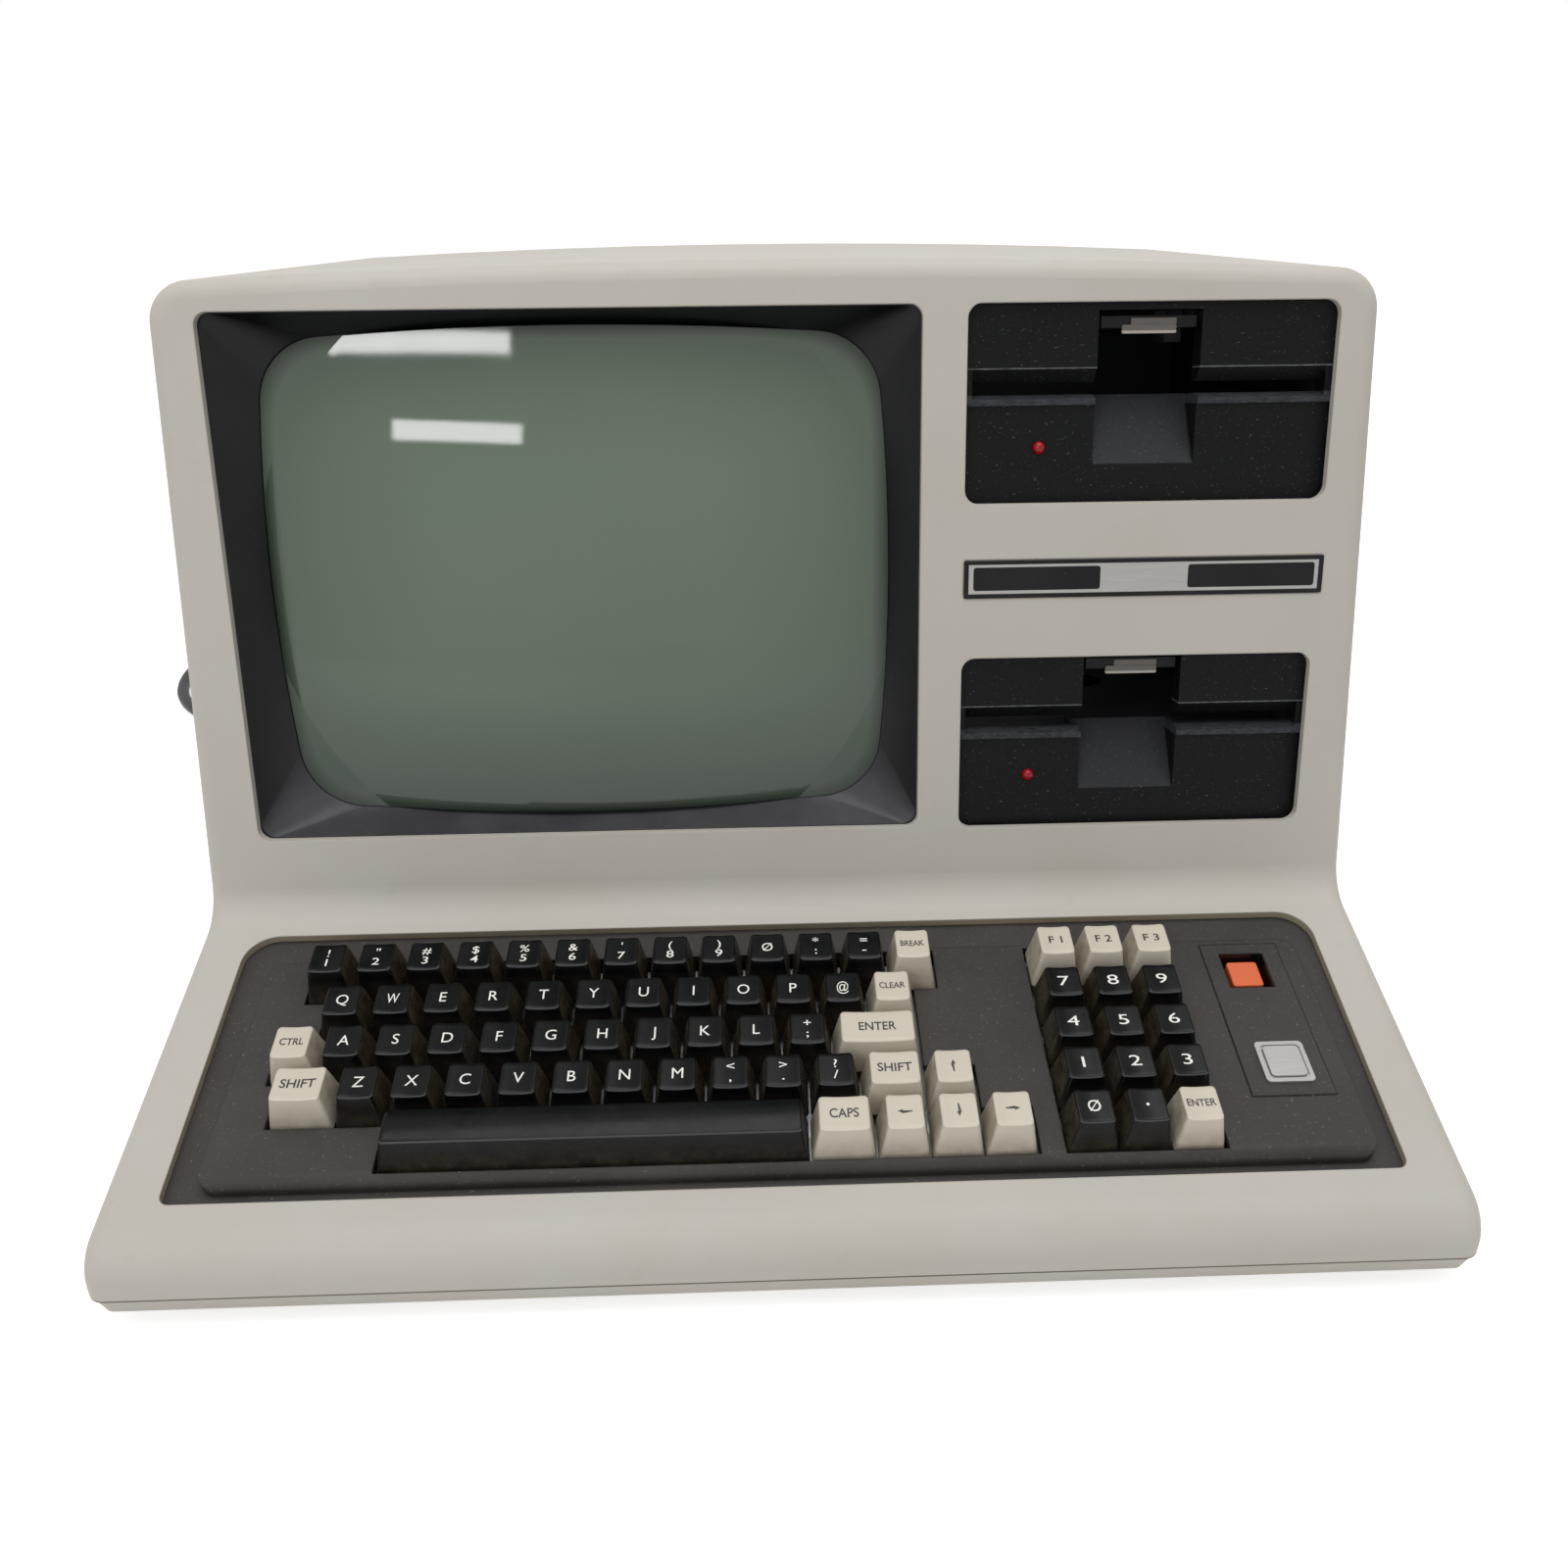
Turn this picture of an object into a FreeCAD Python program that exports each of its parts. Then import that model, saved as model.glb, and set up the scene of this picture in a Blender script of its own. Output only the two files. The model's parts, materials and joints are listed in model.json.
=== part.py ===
import FreeCAD, Part
import math
import os

os.makedirs("parts", exist_ok=True)

V = FreeCAD.Vector

# Driving dimensions of the case, in millimetres and degrees
width = 479.4
depth = 546.1
height = 317.5
side_lean = 8.3
foot_height = 8.0
part_line = 16.0
wall = 3.5
overrun = 20.0
seat_gap = 0.3
least_edge = 0.01
nose_corner_height = 33.2
nose_round = 17.0
face_foot = 148.4
neck_round = 16.0
rear_wall_height = 74.0
rear_round = 24.0
edge_round = 7.0
crown = 5.0
crown_corner_round = 16.0
deck_slope = 14.4
face_slope = 13.19
full_turn = 360.0
top_slope = 6.0
rear_slope = 18.0
key_slope = 12.41

# Places that follow from the case
nose = -depth / 2
rear = depth / 2
right_side = width / 2
left_side = -width / 2
top_width = width - 2 * side_lean
deck_tan = math.tan(math.radians(deck_slope))
face_tan = math.tan(math.radians(face_slope))
rear_tan = math.tan(math.radians(rear_slope))
neck_y = nose + face_foot
neck_z = nose_corner_height + face_foot * deck_tan
top_y = neck_y + (height - neck_z) * face_tan
face_long = (height - neck_z) / math.cos(math.radians(face_slope))
hull_reach_share = 1.4
hollow_drop_share = 3.0
cosine_limit_share = 0.9999
corner_steps = 12

# Openings of the case, in the face and deck frames
screen_margin = 25.9
drive_margin = 23.7
top_margin = 16.07
pier = 17.1
drive_wide = 142.0
upper_drive_tall = 74.5
lower_drive_tall = 71.6
drive_corner = 5.5
drive_under = 78.8
drive_pitch = 132.6
window_rise = 4.2
screen_low = 30.8
screen_corner = 5.0
keyboard_margin = 21.7
keyboard_front = 21.7
keyboard_long = 118.0
keyboard_front_corner = 4.0
keyboard_back_corner = 13.0
drive_right = right_side - drive_margin
drive_left = drive_right - drive_wide
screen_left = left_side + screen_margin
screen_right = drive_left - pier
screen_high = face_long - top_margin
upper_drive_high = screen_high
upper_drive_low = upper_drive_high - upper_drive_tall
upper_drive_z = upper_drive_high - drive_under
lower_drive_low = upper_drive_z - drive_pitch + window_rise
lower_drive_high = lower_drive_low + lower_drive_tall
keyboard_half = right_side - keyboard_margin
keyboard_back = keyboard_front + keyboard_long

# Nameplate
plate_inset = 0.3
plate_past = 1.6
plate_rise = 24.4
plate_tall = 14.8
plate_thick = 0.9
plate_pocket = 0.5
plate_corner = 1.5
plate_left = drive_left + plate_inset
plate_right = drive_right + plate_past
plate_low = lower_drive_high + plate_rise
plate_high = plate_low + plate_tall

# Vents
vent_width = 3.2
vent_pitch = 9.0
vent_length = 60.0
vent_columns = 38
vent_gap = 12.0
vent_rows = 2
vent_low = 138.0

# Fasteners
screw_radius = 2.0
screw_head = 3.8
screw_head_high = 2.4
screw_end_gap = 2.0
pilot_gap = 0.15
boss_radius = 5.0
side_boss_radius = 6.0
boss_top_front = 34.0
boss_top = 62.0
boss_gap = 0.3
front_boss_reach = 12.3
rear_boss_reach = 13.0
side_boss_inset = 10.0
front_boss_shares = (0.125, 0.375)
side_boss_shares = (0.38, 0.72)
rear_boss_shares = (0.125, 0.36)

# Rear wall fittings
cord_exit_inset = 39.7
cord_exit_x = left_side + cord_exit_inset
cord_exit_z = 45.0
relief_hole = 8.0
jack_from_boss = 22.584
jack_x = width * rear_boss_shares[-1] - jack_from_boss
jack_z = 46.0
jack_hole = 8.6

# Base tray
tray_floor = 3.0
floor_z = foot_height + tray_floor
tray_wall = 3.0
tray_inset = 0.4
tray_tuck = 2.6
lip_rise = 6.0
lip_thick = 2.4
slot_width = 3.0
slot_length = 60.0
slot_pitch = 9.0
slot_count = 9
rib_high = 5.0
rib_thick = 2.4
rib_count = 5

# Speaker, switch and thumbwheels on the tray floor
speaker_inset = 119.7
speaker_back = 137.0
speaker_x = left_side + speaker_inset
speaker_y = nose + speaker_back
speaker_radius = 38.0
speaker_magnet = 18.0
switch_inset = 17.7
switch_back = 36.0
switch_x = right_side - switch_inset
switch_y = nose + switch_back
rocker_wide = 12.0
rocker_long = 20.0
rocker_gap = 0.6
rocker_proud = 2.5
rocker_turn = 9.0
switch_shell = 2.0
switch_high = 17.0
knob_inset = 13.7
knob_back = 40.0
knob_apart = 20.0
knob_y = nose + knob_back
brightness_x = left_side + knob_inset
contrast_x = brightness_x + knob_apart
knob_radius = 10.5
knob_thick = 5.0
knob_proud = 4.5
knob_slot = 21.2
knob_shaft = 2.5
pot_wide = 5.6
pot_side = 13.0

# Feet
foot_radius = 11.0
foot_taper = 1.5
foot_inset_x = 34.0
foot_front = 72.0
foot_back = 30.0

# Picture tube and its mask, in the face frame
screen_x = (screen_left + screen_right) / 2
screen_z = (screen_low + screen_high) / 2
mask_flange = 6.0
mask_thick = 2.6
mask_gap = 0.2
mask_front = wall + mask_gap
tube_depth = 19.0
rim_side = 10.75
rim_above = 5.1
rim_half_x = (screen_right - screen_left) / 2 - rim_side
rim_half_z = (screen_high - screen_low) / 2 - rim_above
rim_bulge_x = 6.0
rim_bulge_z = 5.0
rim_corner = 26.0
glass_lip = 4.0
glass_bulge = 13.0
glass_panel = 36.0
band_thick = 1.4
band_deep = 16.0
band_setback = 9.0
ear_long = 15.0
ear_wide = 18.0
funnel_deep = 118.0
neck_radius = 14.5
neck_long = 92.0
funnel_throat = 20.0
yoke_deep = 48.0
yoke_wall = 9.0
yoke_flare = 34.0
yoke_gap = 1.0
socket_radius = 21.0
socket_deep = 9.0
neck_board_side = 76.0
glass_front_thick = 12.0
glass_side_thick = 8.0
funnel_thick = 4.0
neck_thick = 2.0
throat_squash_share = 0.8
neck_part_share = 0.8
board_thick = 1.6
mask_bow = 0.05
mask_corner_extra = 1.0

# Disk drives, in the face frame
panel_lap_left = 3.5
panel_lap_right = 3.6
drive_x0 = drive_left - panel_lap_left
drive_x1 = drive_right + panel_lap_right
drive_front = 4.0
drive_panel = 9.5
drive_high = 83.4
groove_inset_left = 2.6
groove_inset_right = 2.4
groove_left = drive_left + groove_inset_left
groove_right = drive_right - groove_inset_right
groove_top = 55.0
groove_mouth = 49.5
slot_low = 45.2
ledge_low = 43.5
step_foot = 41.2
panel_step = 1.5
groove_deep = 5.0
notch_inset = 50.6
notch_wide = 39.8
notch_left = drive_left + notch_inset
notch_right = notch_left + notch_wide
notch_top = 76.0
ramp_top = 45.0
ramp_foot = 18.6
ramp_deep = 16.0
ramp_back = 4.5
ramp_wall = 2.0
lamp_inset = 29.4
lamp_x = drive_left + lamp_inset
lamp_z = 25.3
lamp_radius = 2.5
lamp_deep = 11.0
lamp_gap = 0.1
body_lap_left = 1.1
body_lap_right = 2.0
body_x0 = drive_x0 + body_lap_left
body_x1 = drive_x1 - body_lap_right
body_long = 192.0
body_wall = 4.0
deck_setback = 14.0
deck_top = 41.0
bridge_deep = 20.0
lever_gap = 1.4
lip_inset = 8.0
lever_x0 = notch_left + lever_gap
lever_x1 = notch_right - lever_gap
lever_front = 6.5
lever_pivot = 60.0
lever_top = 72.8
lever_thick = 2.2
lever_bar = 5.0
lever_bar_high = 4.4
lip_x0 = lever_x0 + lip_inset
lip_x1 = lever_x1 - lip_inset
lip_deep = 3.0
lip_high = 6.4
pivot_radius = 3.0
pin_radius = 1.6
pin_long = 3.0
pin_gap = 0.3
spindle_depth = 118.0
hub_radius = 17.0
lug_gap = 1.2
lug_wide = 7.0
lug_deep = 8.0
lug_high = 7.0

# Drive tower: folded sheet round both drives
tower_sheet = 1.6
tower_gap = 0.3
tower_front = 20.0
tower_long = 170.0
tower_flange = 14.0
tower_top_share = 0.35
tower_leg_shares = (0.2, 0.9)

# Keyboard, in the key frame
home_row_back = 72.4
home_row_y = nose + home_row_back
home_row_z = 65.3
key_pitch = 19.05
key_gap = 0.75
key_base = 14.9
key_top_narrow = 5.4
key_top_deep = 13.8
key_top_back = 0.8
key_wall = 1.3
key_roof = 1.6
row_rise = (2.2, 0.1, 0.0, 0.6, 1.1)
field_half = key_pitch * len(row_rise) / 2
stem_side = 4.0
stem_long = 20.6
stem_gap = 0.3
switch_head_side = 14.4
switch_head_top = 17.2
switch_side = 13.6
switch_foot = 32.0
switch_pocket = 9.0
sheet_top = 20.8
sheet_thick = 1.5
plateau_inset_left = 12.0
plateau_inset_right = 9.0
plateau_past_front = 3.875
plateau_past_back = 1.875
plateau_left = plateau_inset_left - keyboard_half
plateau_right = keyboard_half - plateau_inset_right
plateau_front = -field_half - plateau_past_front
plateau_back = field_half + plateau_past_back
plateau_high_front = 11.7
plateau_high_back = 13.8
plateau_round = 4.5
plateau_corner = 6.0
sheet_inset = 3.3
sheet_short = 44.0
sheet_left = plateau_left + sheet_inset
sheet_right = plateau_right - sheet_short
sheet_front = plateau_front + sheet_inset
sheet_back = plateau_back - sheet_inset
circuit_inset = 5.0
circuit_right = plateau_right - circuit_inset
plug_pins = 3
moulding = 2.5
border_under = 8.0
border_lap = 4.0
border_front = keyboard_front - border_lap
border_back = keyboard_back + border_lap
key_clear = 0.9
pillar_radius = 3.4
pillar_side = 9.0
pillar_edge = 5.5
pillar_front = 8.5
pillar_pad = 48.8
pillar_gap_back = 130.0
pillar_gap_front = 115.8
pillar_places = (
    (plateau_left + pillar_side, plateau_back - pillar_edge),
    (plateau_left + pillar_side, plateau_front + pillar_front),
    (plateau_right - pillar_gap_back, plateau_back - pillar_edge),
    (plateau_right - pillar_gap_front, plateau_front + pillar_front),
    (plateau_right - pillar_pad, plateau_back - sheet_inset),
    (plateau_right - pillar_pad, plateau_front + pillar_edge),
)
well_inset = 23.4
well_x = plateau_right - well_inset
well_y = 33.2
well_wide = 19.2
well_throat = 13.2
well_funnel = 6.5
well_wall = 1.8
well_tube = 16.0
button_side = 12.4
button_top = 15.4
button_high = 8.4
button_round = 1.4
button_stem = 3.6
button_stem_long = 3.4
reset_switch_side = 11.0
reset_switch_top = 27.0
panel_inset = 7.6
panel_wide = 31.4
panel_back = 47.0
panel_long = 74.0
panel_x1 = plateau_right - panel_inset
panel_x0 = panel_x1 - panel_wide
panel_y1 = panel_back
panel_y0 = panel_y1 - panel_long
panel_rise = 0.4
badge_inset = 22.8
badge_x = plateau_right - badge_inset
badge_y = -12.4
badge_side = 18.3
badge_high = 1.6
badge_round = 1.8
badge_rim = 1.6
badge_groove = 0.6
badge_edge = 0.5
badge_frame_share = 0.6

# Key columns, in key pitches from the first key of the number row or of the keypad
first_key_inset = 28.02
keypad_inset = 101.4
main_column = plateau_left + first_key_inset
pad_column = plateau_right - keypad_inset
row_joint_share = 0.25

# Each run: row, column of its first key, number of keys
main_row_shares = {
    "number_row_keys": (0, 0, 12),
    "upper_row_keys": (1, 0.5, 11),
    "home_row_keys": (2, 0.75, 10),
    "lower_row_keys": (3, 1.25, 10),
}
pad_row_shares = ((1, 0, 3), (2, 0, 3), (3, 0, 3), (4, 0, 2))

# Each key: row, column of its middle, width in pitches
main_key_shares = {
    "break_key": (0, 12, 1),
    "clear_key": (1, 11.5, 1),
    "enter_key": (2, 11.125, 1.75),
    "control_key": (2, -0.25, 1),
    "left_shift_key": (3, 0.125, 1.25),
    "right_shift_key": (3, 11.375, 1.25),
    "up_arrow_key": (3, 12.5, 1),
    "caps_key": (4, 10.35, 1.25),
    "left_arrow_key": (4, 11.475, 1),
    "down_arrow_key": (4, 12.475, 1),
    "right_arrow_key": (4, 13.475, 1),
    "space_bar": (4, 5.725, 8),
}
pad_key_shares = {
    "f1_key": (0, 0, 1),
    "f2_key": (0, 1, 1),
    "f3_key": (0, 2, 1),
    "keypad_enter_key": (4, 2, 1),
}

# Power supply on the tray's ribs
supply_x0 = -45.0
supply_x1 = 55.0
supply_back = 140.0
supply_long = 200.0
supply_y1 = rear - supply_back
supply_y0 = supply_y1 - supply_long
supply_high = 62.0
supply_wall = 1.2
supply_open = 12.0
coil_core = 30.0

# Boards behind and under the tube
video_inset = 27.7
video_wide = 154.0
video_back = 196.0
video_long = 140.0
video_x0 = left_side + video_inset
video_x1 = video_x0 + video_wide
video_y0 = nose + video_back
video_y1 = video_y0 + video_long
video_z = 30.0
standoff_radius = 3.5
standoff_inset = 8.0
transformer_radius = 17.0
transformer_high = 30.0
sink_inset = 24.0
bracket_inset = 35.7
bracket_wide = 266.0
bracket_back = 71.0
bracket_x0 = left_side + bracket_inset
bracket_x1 = bracket_x0 + bracket_wide
bracket_y = rear - bracket_back
bracket_top = 206.0
bracket_sheet = 1.5
bracket_foot = 16.0
bracket_window = 70.0
board_margin = 6.0
main_y = bracket_y + board_margin
main_x0 = bracket_x0 + board_margin
main_x1 = bracket_x1 - board_margin
main_z0 = 26.0
main_z1 = 200.0
chip_long = 38.0
chip_wide = 14.0
chip_high = 4.0
chip_columns = 5
chip_rows = 4

# Speaker
speaker_basket = 13.0
speaker_magnet_high = 9.0
speaker_rim = 3.0

# Strain relief, cord, coil and plug
relief_long = 32.0
relief_wide = 7.6
relief_tip = 5.2
relief_flange = 11.0
relief_flange_high = 3.0
relief_rings = 5
relief_groove = 1.0
cord_radius = 3.8
coil_along = 90.0
coil_behind = 100.2
coil_x = cord_exit_x + coil_along
coil_y = rear + coil_behind
coil_reach = 51.0
coil_pitch = 8.2
coil_halves_in = 4
coil_halves_out = 3
tail_long = 36.0
plug_sleeve = 22.0
plug_sleeve_wide = 8.0
plug_body = 30.0
plug_radius = 12.0
plug_round = 3.0
blade_long = 18.0
blade_thick = 1.6
blade_wide = 6.4
blade_apart = 12.7
arc_share = 0.45
half_share = 0.5
near_turn = 20.0
rocker_pivot_z = 13.5
rocker_top = 3.5
knob_grips = 18
knob_grip_radius = 0.6
jack_contacts = 5
jack_ring = 4.4
jack_contact_radius = 0.9


def unit(vector):
    return vector * (1 / vector.Length)


def spread(points, distance):
    """Move every side of a closed counter-clockwise outline inwards."""
    moved = []
    count = len(points)
    for i in range(count):
        before = V(points[i - 1][0], points[i - 1][1], 0)
        here = V(points[i][0], points[i][1], 0)
        after = V(points[(i + 1) % count][0], points[(i + 1) % count][1], 0)
        first = unit(here - before)
        second = unit(after - here)
        inward = V(-first.y, first.x, 0)
        other = V(-second.y, second.x, 0)
        bisector = unit(inward + other)
        corner = here + bisector * (distance / bisector.dot(inward))
        moved.append((corner.x, corner.y))
    return moved


def outline(points, radii, lift):
    """A closed wire through the points, with an arc of the given radius at each corner."""
    edges = []
    count = len(points)
    ends = []
    for i in range(count):
        here = V(points[i][0], points[i][1], 0)
        to_before = unit(V(points[i - 1][0], points[i - 1][1], 0) - here)
        to_after = unit(V(points[(i + 1) % count][0], points[(i + 1) % count][1], 0) - here)
        if radii[i] > 0:
            half = to_before.getAngle(to_after) / 2
            reach = radii[i] / math.tan(half)
            inside = unit(to_before + to_after)
            middle = here + inside * (radii[i] / math.sin(half) - radii[i])
            ends.append((here + to_before * reach, middle, here + to_after * reach))
        else:
            ends.append((here, None, here))
    for i in range(count):
        start, middle, stop = ends[i]
        if middle is not None:
            edges.append(Part.Arc(lift(start), lift(middle), lift(stop)).toShape())
        following = ends[(i + 1) % count][0]
        if (following - stop).Length > least_edge:
            edges.append(Part.makeLine(lift(stop), lift(following)))
    return Part.Wire(edges)


def side_profile(points, radii, x0, x1):
    """Extrude a Y-Z outline along X."""
    wire = outline(points, radii, lambda p: V(x0, p.x, p.y))
    return Part.Face(wire).extrude(V(x1 - x0, 0, 0))


def plate(points, radii, z0, z1):
    """Extrude an X-Y outline along Z."""
    wire = outline(points, radii, lambda p: V(p.x, p.y, z0))
    return Part.Face(wire).extrude(V(0, 0, z1 - z0))


def front_profile(points, radii, y0, y1):
    """Extrude an X-Z outline along Y."""
    wire = outline(points, radii, lambda p: V(p.x, y0, p.y))
    return Part.Face(wire).extrude(V(0, y1 - y0, 0))


def block(x0, x1, y0, y1, z0, z1):
    return Part.makeBox(x1 - x0, y1 - y0, z1 - z0, V(x0, y0, z0))


def post(x, y, z0, z1, radius):
    return Part.makeCylinder(radius, z1 - z0, V(x, y, z0))


def barrel(x0, x1, y, z, radius):
    return Part.makeCylinder(radius, x1 - x0, V(x0, y, z), V(1, 0, 0))


def rod(x, y0, y1, z, radius):
    return Part.makeCylinder(radius, y1 - y0, V(x, y0, z), V(0, 1, 0))


def rectangle(x0, x1, y0, y1):
    return [(x0, y0), (x1, y0), (x1, y1), (x0, y1)]


def leaned(shape, angle, y, z):
    """Turn a shape about X and put its own origin at (0, y, z)."""
    turned = shape.copy()
    turned.Placement = FreeCAD.Placement(V(0, y, z), FreeCAD.Rotation(V(1, 0, 0), angle))
    return turned


def fused(shapes):
    return shapes[0].fuse(shapes[1:]) if len(shapes) > 1 else shapes[0]


def write(name, shape):
    solids = shape.Solids
    whole = solids[0] if len(solids) == 1 else Part.makeCompound(solids)
    whole.exportStep("parts/" + name + ".step")
    print(name, len(solids), "solids", round(whole.Volume), "mm3", "valid", whole.isValid())


def on_deck(shape):
    return leaned(shape, deck_slope, nose, nose_corner_height)


def on_face(shape):
    """Face frame: Y is the depth behind the face, Z runs up the face from the neck corner."""
    return leaned(shape, -face_slope, neck_y, neck_z)


def on_keys(shape):
    """Key frame: Y runs up the rows from the home row, Z is the height over the home row's tops."""
    return leaned(shape, key_slope, home_row_y, home_row_z)


def hull_outline(inset):
    """Front section of the case under its crown: side, corner arc, crown and back."""
    low = -height * hull_reach_share
    side_slope = math.atan((width - top_width) / 2 / height)
    half_low = top_width / 2 - inset / math.cos(side_slope) - low * math.tan(side_slope)
    chord = top_width / 2 - crown_corner_round
    crown_radius = (chord * chord + crown * crown) / (2 * crown)
    corner = crown_corner_round - inset
    crown_centre = -crown_radius
    reach = crown_radius - inset - corner
    normal = V(math.cos(side_slope), math.sin(side_slope), 0)
    wall_distance = (top_width / 2) * normal.x - inset - corner
    centre_z = crown_centre
    for _ in range(corner_steps):
        centre_x = (wall_distance - centre_z * normal.y) / normal.x
        centre_z = crown_centre + math.sqrt(reach * reach - centre_x * centre_x)
    centre = V(centre_x, centre_z, 0)
    side_end = centre + normal * corner
    up = unit(centre - V(0, crown_centre, 0))
    crown_end = centre + up * corner
    middle = centre + unit(normal + up) * corner
    points = []
    for mirror in (1, -1):
        points.append([V(mirror * p.x, 0, p.y) for p in (V(half_low, low, 0), side_end, middle, crown_end)])
    (foot, shoulder, turn, brow), (other_foot, other_shoulder, other_turn, other_brow) = points
    top = V(0, 0, -inset)
    edges = [
        Part.makeLine(foot, shoulder),
        Part.Arc(shoulder, turn, brow).toShape(),
        Part.Arc(brow, top, other_brow).toShape(),
        Part.Arc(other_brow, other_turn, other_shoulder).toShape(),
        Part.makeLine(other_shoulder, other_foot),
        Part.makeLine(other_foot, foot),
    ]
    return Part.Wire(edges)


def case_points(bottom):
    above = height + overrun
    slant_top = rear - (above - rear_wall_height) * rear_tan
    return [
        (nose, bottom),
        (rear, bottom),
        (rear, rear_wall_height),
        (slant_top, above),
        (neck_y + (above - neck_z) * face_tan, above),
        (neck_y, neck_z),
        (nose, nose_corner_height),
    ]


def case_body(inset):
    """The case's outer form, or its hollow when inset by the wall."""
    bottom = part_line - inset * hollow_drop_share
    points = spread(case_points(bottom), inset)
    radii = [0, 0, rear_round - inset, 0, 0, neck_round + inset, nose_round - inset]
    profile = side_profile(points, radii, -width, width)
    section = Part.Face(hull_outline(inset))
    section.Placement = FreeCAD.Placement(V(0, -depth, 0), FreeCAD.Rotation())
    hull = section.extrude(V(0, 2 * depth, 0))
    hull = leaned(hull, -top_slope, top_y, height)
    body = profile.common(hull)
    along = V(0, math.cos(math.radians(top_slope)), -math.sin(math.radians(top_slope)))
    floor = min(v.Z for v in body.Vertexes)
    chosen = []
    for edge in body.Edges:
        a = edge.Vertexes[0].Point
        b = edge.Vertexes[-1].Point
        if max(a.z, b.z) < floor + least_edge:
            continue
        if edge.Curve.TypeId == "Part::GeomLine":
            direction = unit(b - a)
            if abs(direction.x) > cosine_limit_share or abs(direction.dot(along)) > cosine_limit_share:
                continue
        chosen.append(edge)
    return body.makeFillet(edge_round - inset, chosen)


def half_width(y, z):
    """Outer half width of the case at a place on its side wall."""
    down = (height - z) * math.cos(math.radians(top_slope)) - (y - top_y) * math.sin(math.radians(top_slope))
    return top_width / 2 + down * (width - top_width) / 2 / height


def boss_spots():
    """Places of the case screws with their boss radius and boss top."""
    spots = []
    for share in front_boss_shares:
        for side in (-1, 1):
            spots.append((side * width * share, nose + front_boss_reach, boss_radius, boss_top_front))
    for share in side_boss_shares:
        y = nose + depth * share
        x = half_width(y, part_line) - wall - side_boss_inset
        for side in (-1, 1):
            spots.append((side * x, y, side_boss_radius, boss_top))
    for share in rear_boss_shares:
        for side in (-1, 1):
            spots.append((side * width * share, rear - rear_boss_reach, side_boss_radius, boss_top))
    return spots


def rounded_cut(x0, x1, z0, z1, radius, y0, y1):
    return front_profile(rectangle(x0, x1, z0, z1), [radius] * 4, y0, y1)


def make_top_cover():
    outer = case_body(0)
    hollow = case_body(wall)
    cover = outer.cut(hollow)
    reach = wall + overrun / 2
    cuts = [
        on_face(rounded_cut(screen_left, screen_right, screen_low, screen_high, screen_corner,
                            -overrun, reach)),
        on_face(rounded_cut(drive_left, drive_right, lower_drive_low, lower_drive_high, drive_corner,
                            -overrun, reach)),
        on_face(rounded_cut(drive_left, drive_right, upper_drive_low, upper_drive_high, drive_corner,
                            -overrun, reach)),
        on_face(rounded_cut(plate_left - seat_gap, plate_right + seat_gap, plate_low - seat_gap,
                            plate_high + seat_gap, plate_corner, -overrun, plate_pocket)),
        on_deck(plate(rectangle(-keyboard_half, keyboard_half, keyboard_front, keyboard_back),
                      [keyboard_front_corner] * 2 + [keyboard_back_corner] * 2,
                      -wall - overrun / 2, overrun)),
        rod(cord_exit_x, rear - wall - overrun, rear + overrun, cord_exit_z, relief_hole),
        rod(jack_x, rear - wall - overrun, rear + overrun, jack_z, jack_hole),
    ]
    for row in range(vent_rows):
        low = vent_low - rear_wall_height + row * (vent_length + vent_gap)
        for column in range(vent_columns):
            x = (column - (vent_columns - 1) / 2) * vent_pitch
            slot = block(x - vent_width / 2, x + vent_width / 2, -overrun, overrun, low, low + vent_length)
            cuts.append(leaned(slot, rear_slope, rear, rear_wall_height))
    cover = cover.cut(Part.makeCompound(cuts))
    bosses = []
    for x, y, radius, top in boss_spots():
        bosses.append(post(x, y, part_line + boss_gap, top, radius))
    holes = [post(x, y, part_line - overrun, top - wall, screw_radius + pilot_gap)
             for x, y, _, top in boss_spots()]
    inside = Part.makeCompound(bosses).common(hollow)
    webs = []
    for x, y, _, top in boss_spots():
        if abs(y - nose) < front_boss_reach + seat_gap:
            web = block(x - wall / 2, x + wall / 2, nose, y, part_line + lip_rise + seat_gap, top)
        elif abs(rear - y) < rear_boss_reach + seat_gap:
            web = block(x - wall / 2, x + wall / 2, y, rear, part_line + lip_rise + seat_gap, top)
        else:
            side = math.copysign(1, x)
            web = block(min(x, side * width / 2), max(x, side * width / 2), y - wall / 2, y + wall / 2,
                        part_line + lip_rise + seat_gap, top)
        webs.append(web)
    webs = Part.makeCompound(webs).common(outer)
    cover = cover.fuse([inside, webs])
    cover = cover.cut(Part.makeCompound(holes))
    return cover.removeSplitter()


def tray_outline():
    half_front = half_width(nose, part_line) - tray_inset
    half_back = half_width(rear, part_line) - tray_inset
    return [(-half_front, nose + tray_inset), (half_front, nose + tray_inset),
            (half_back, rear - tray_inset), (-half_back, rear - tray_inset)]


def rib_places():
    return [nose + depth * (i + 1) / (rib_count + 1) for i in range(rib_count)]


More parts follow.
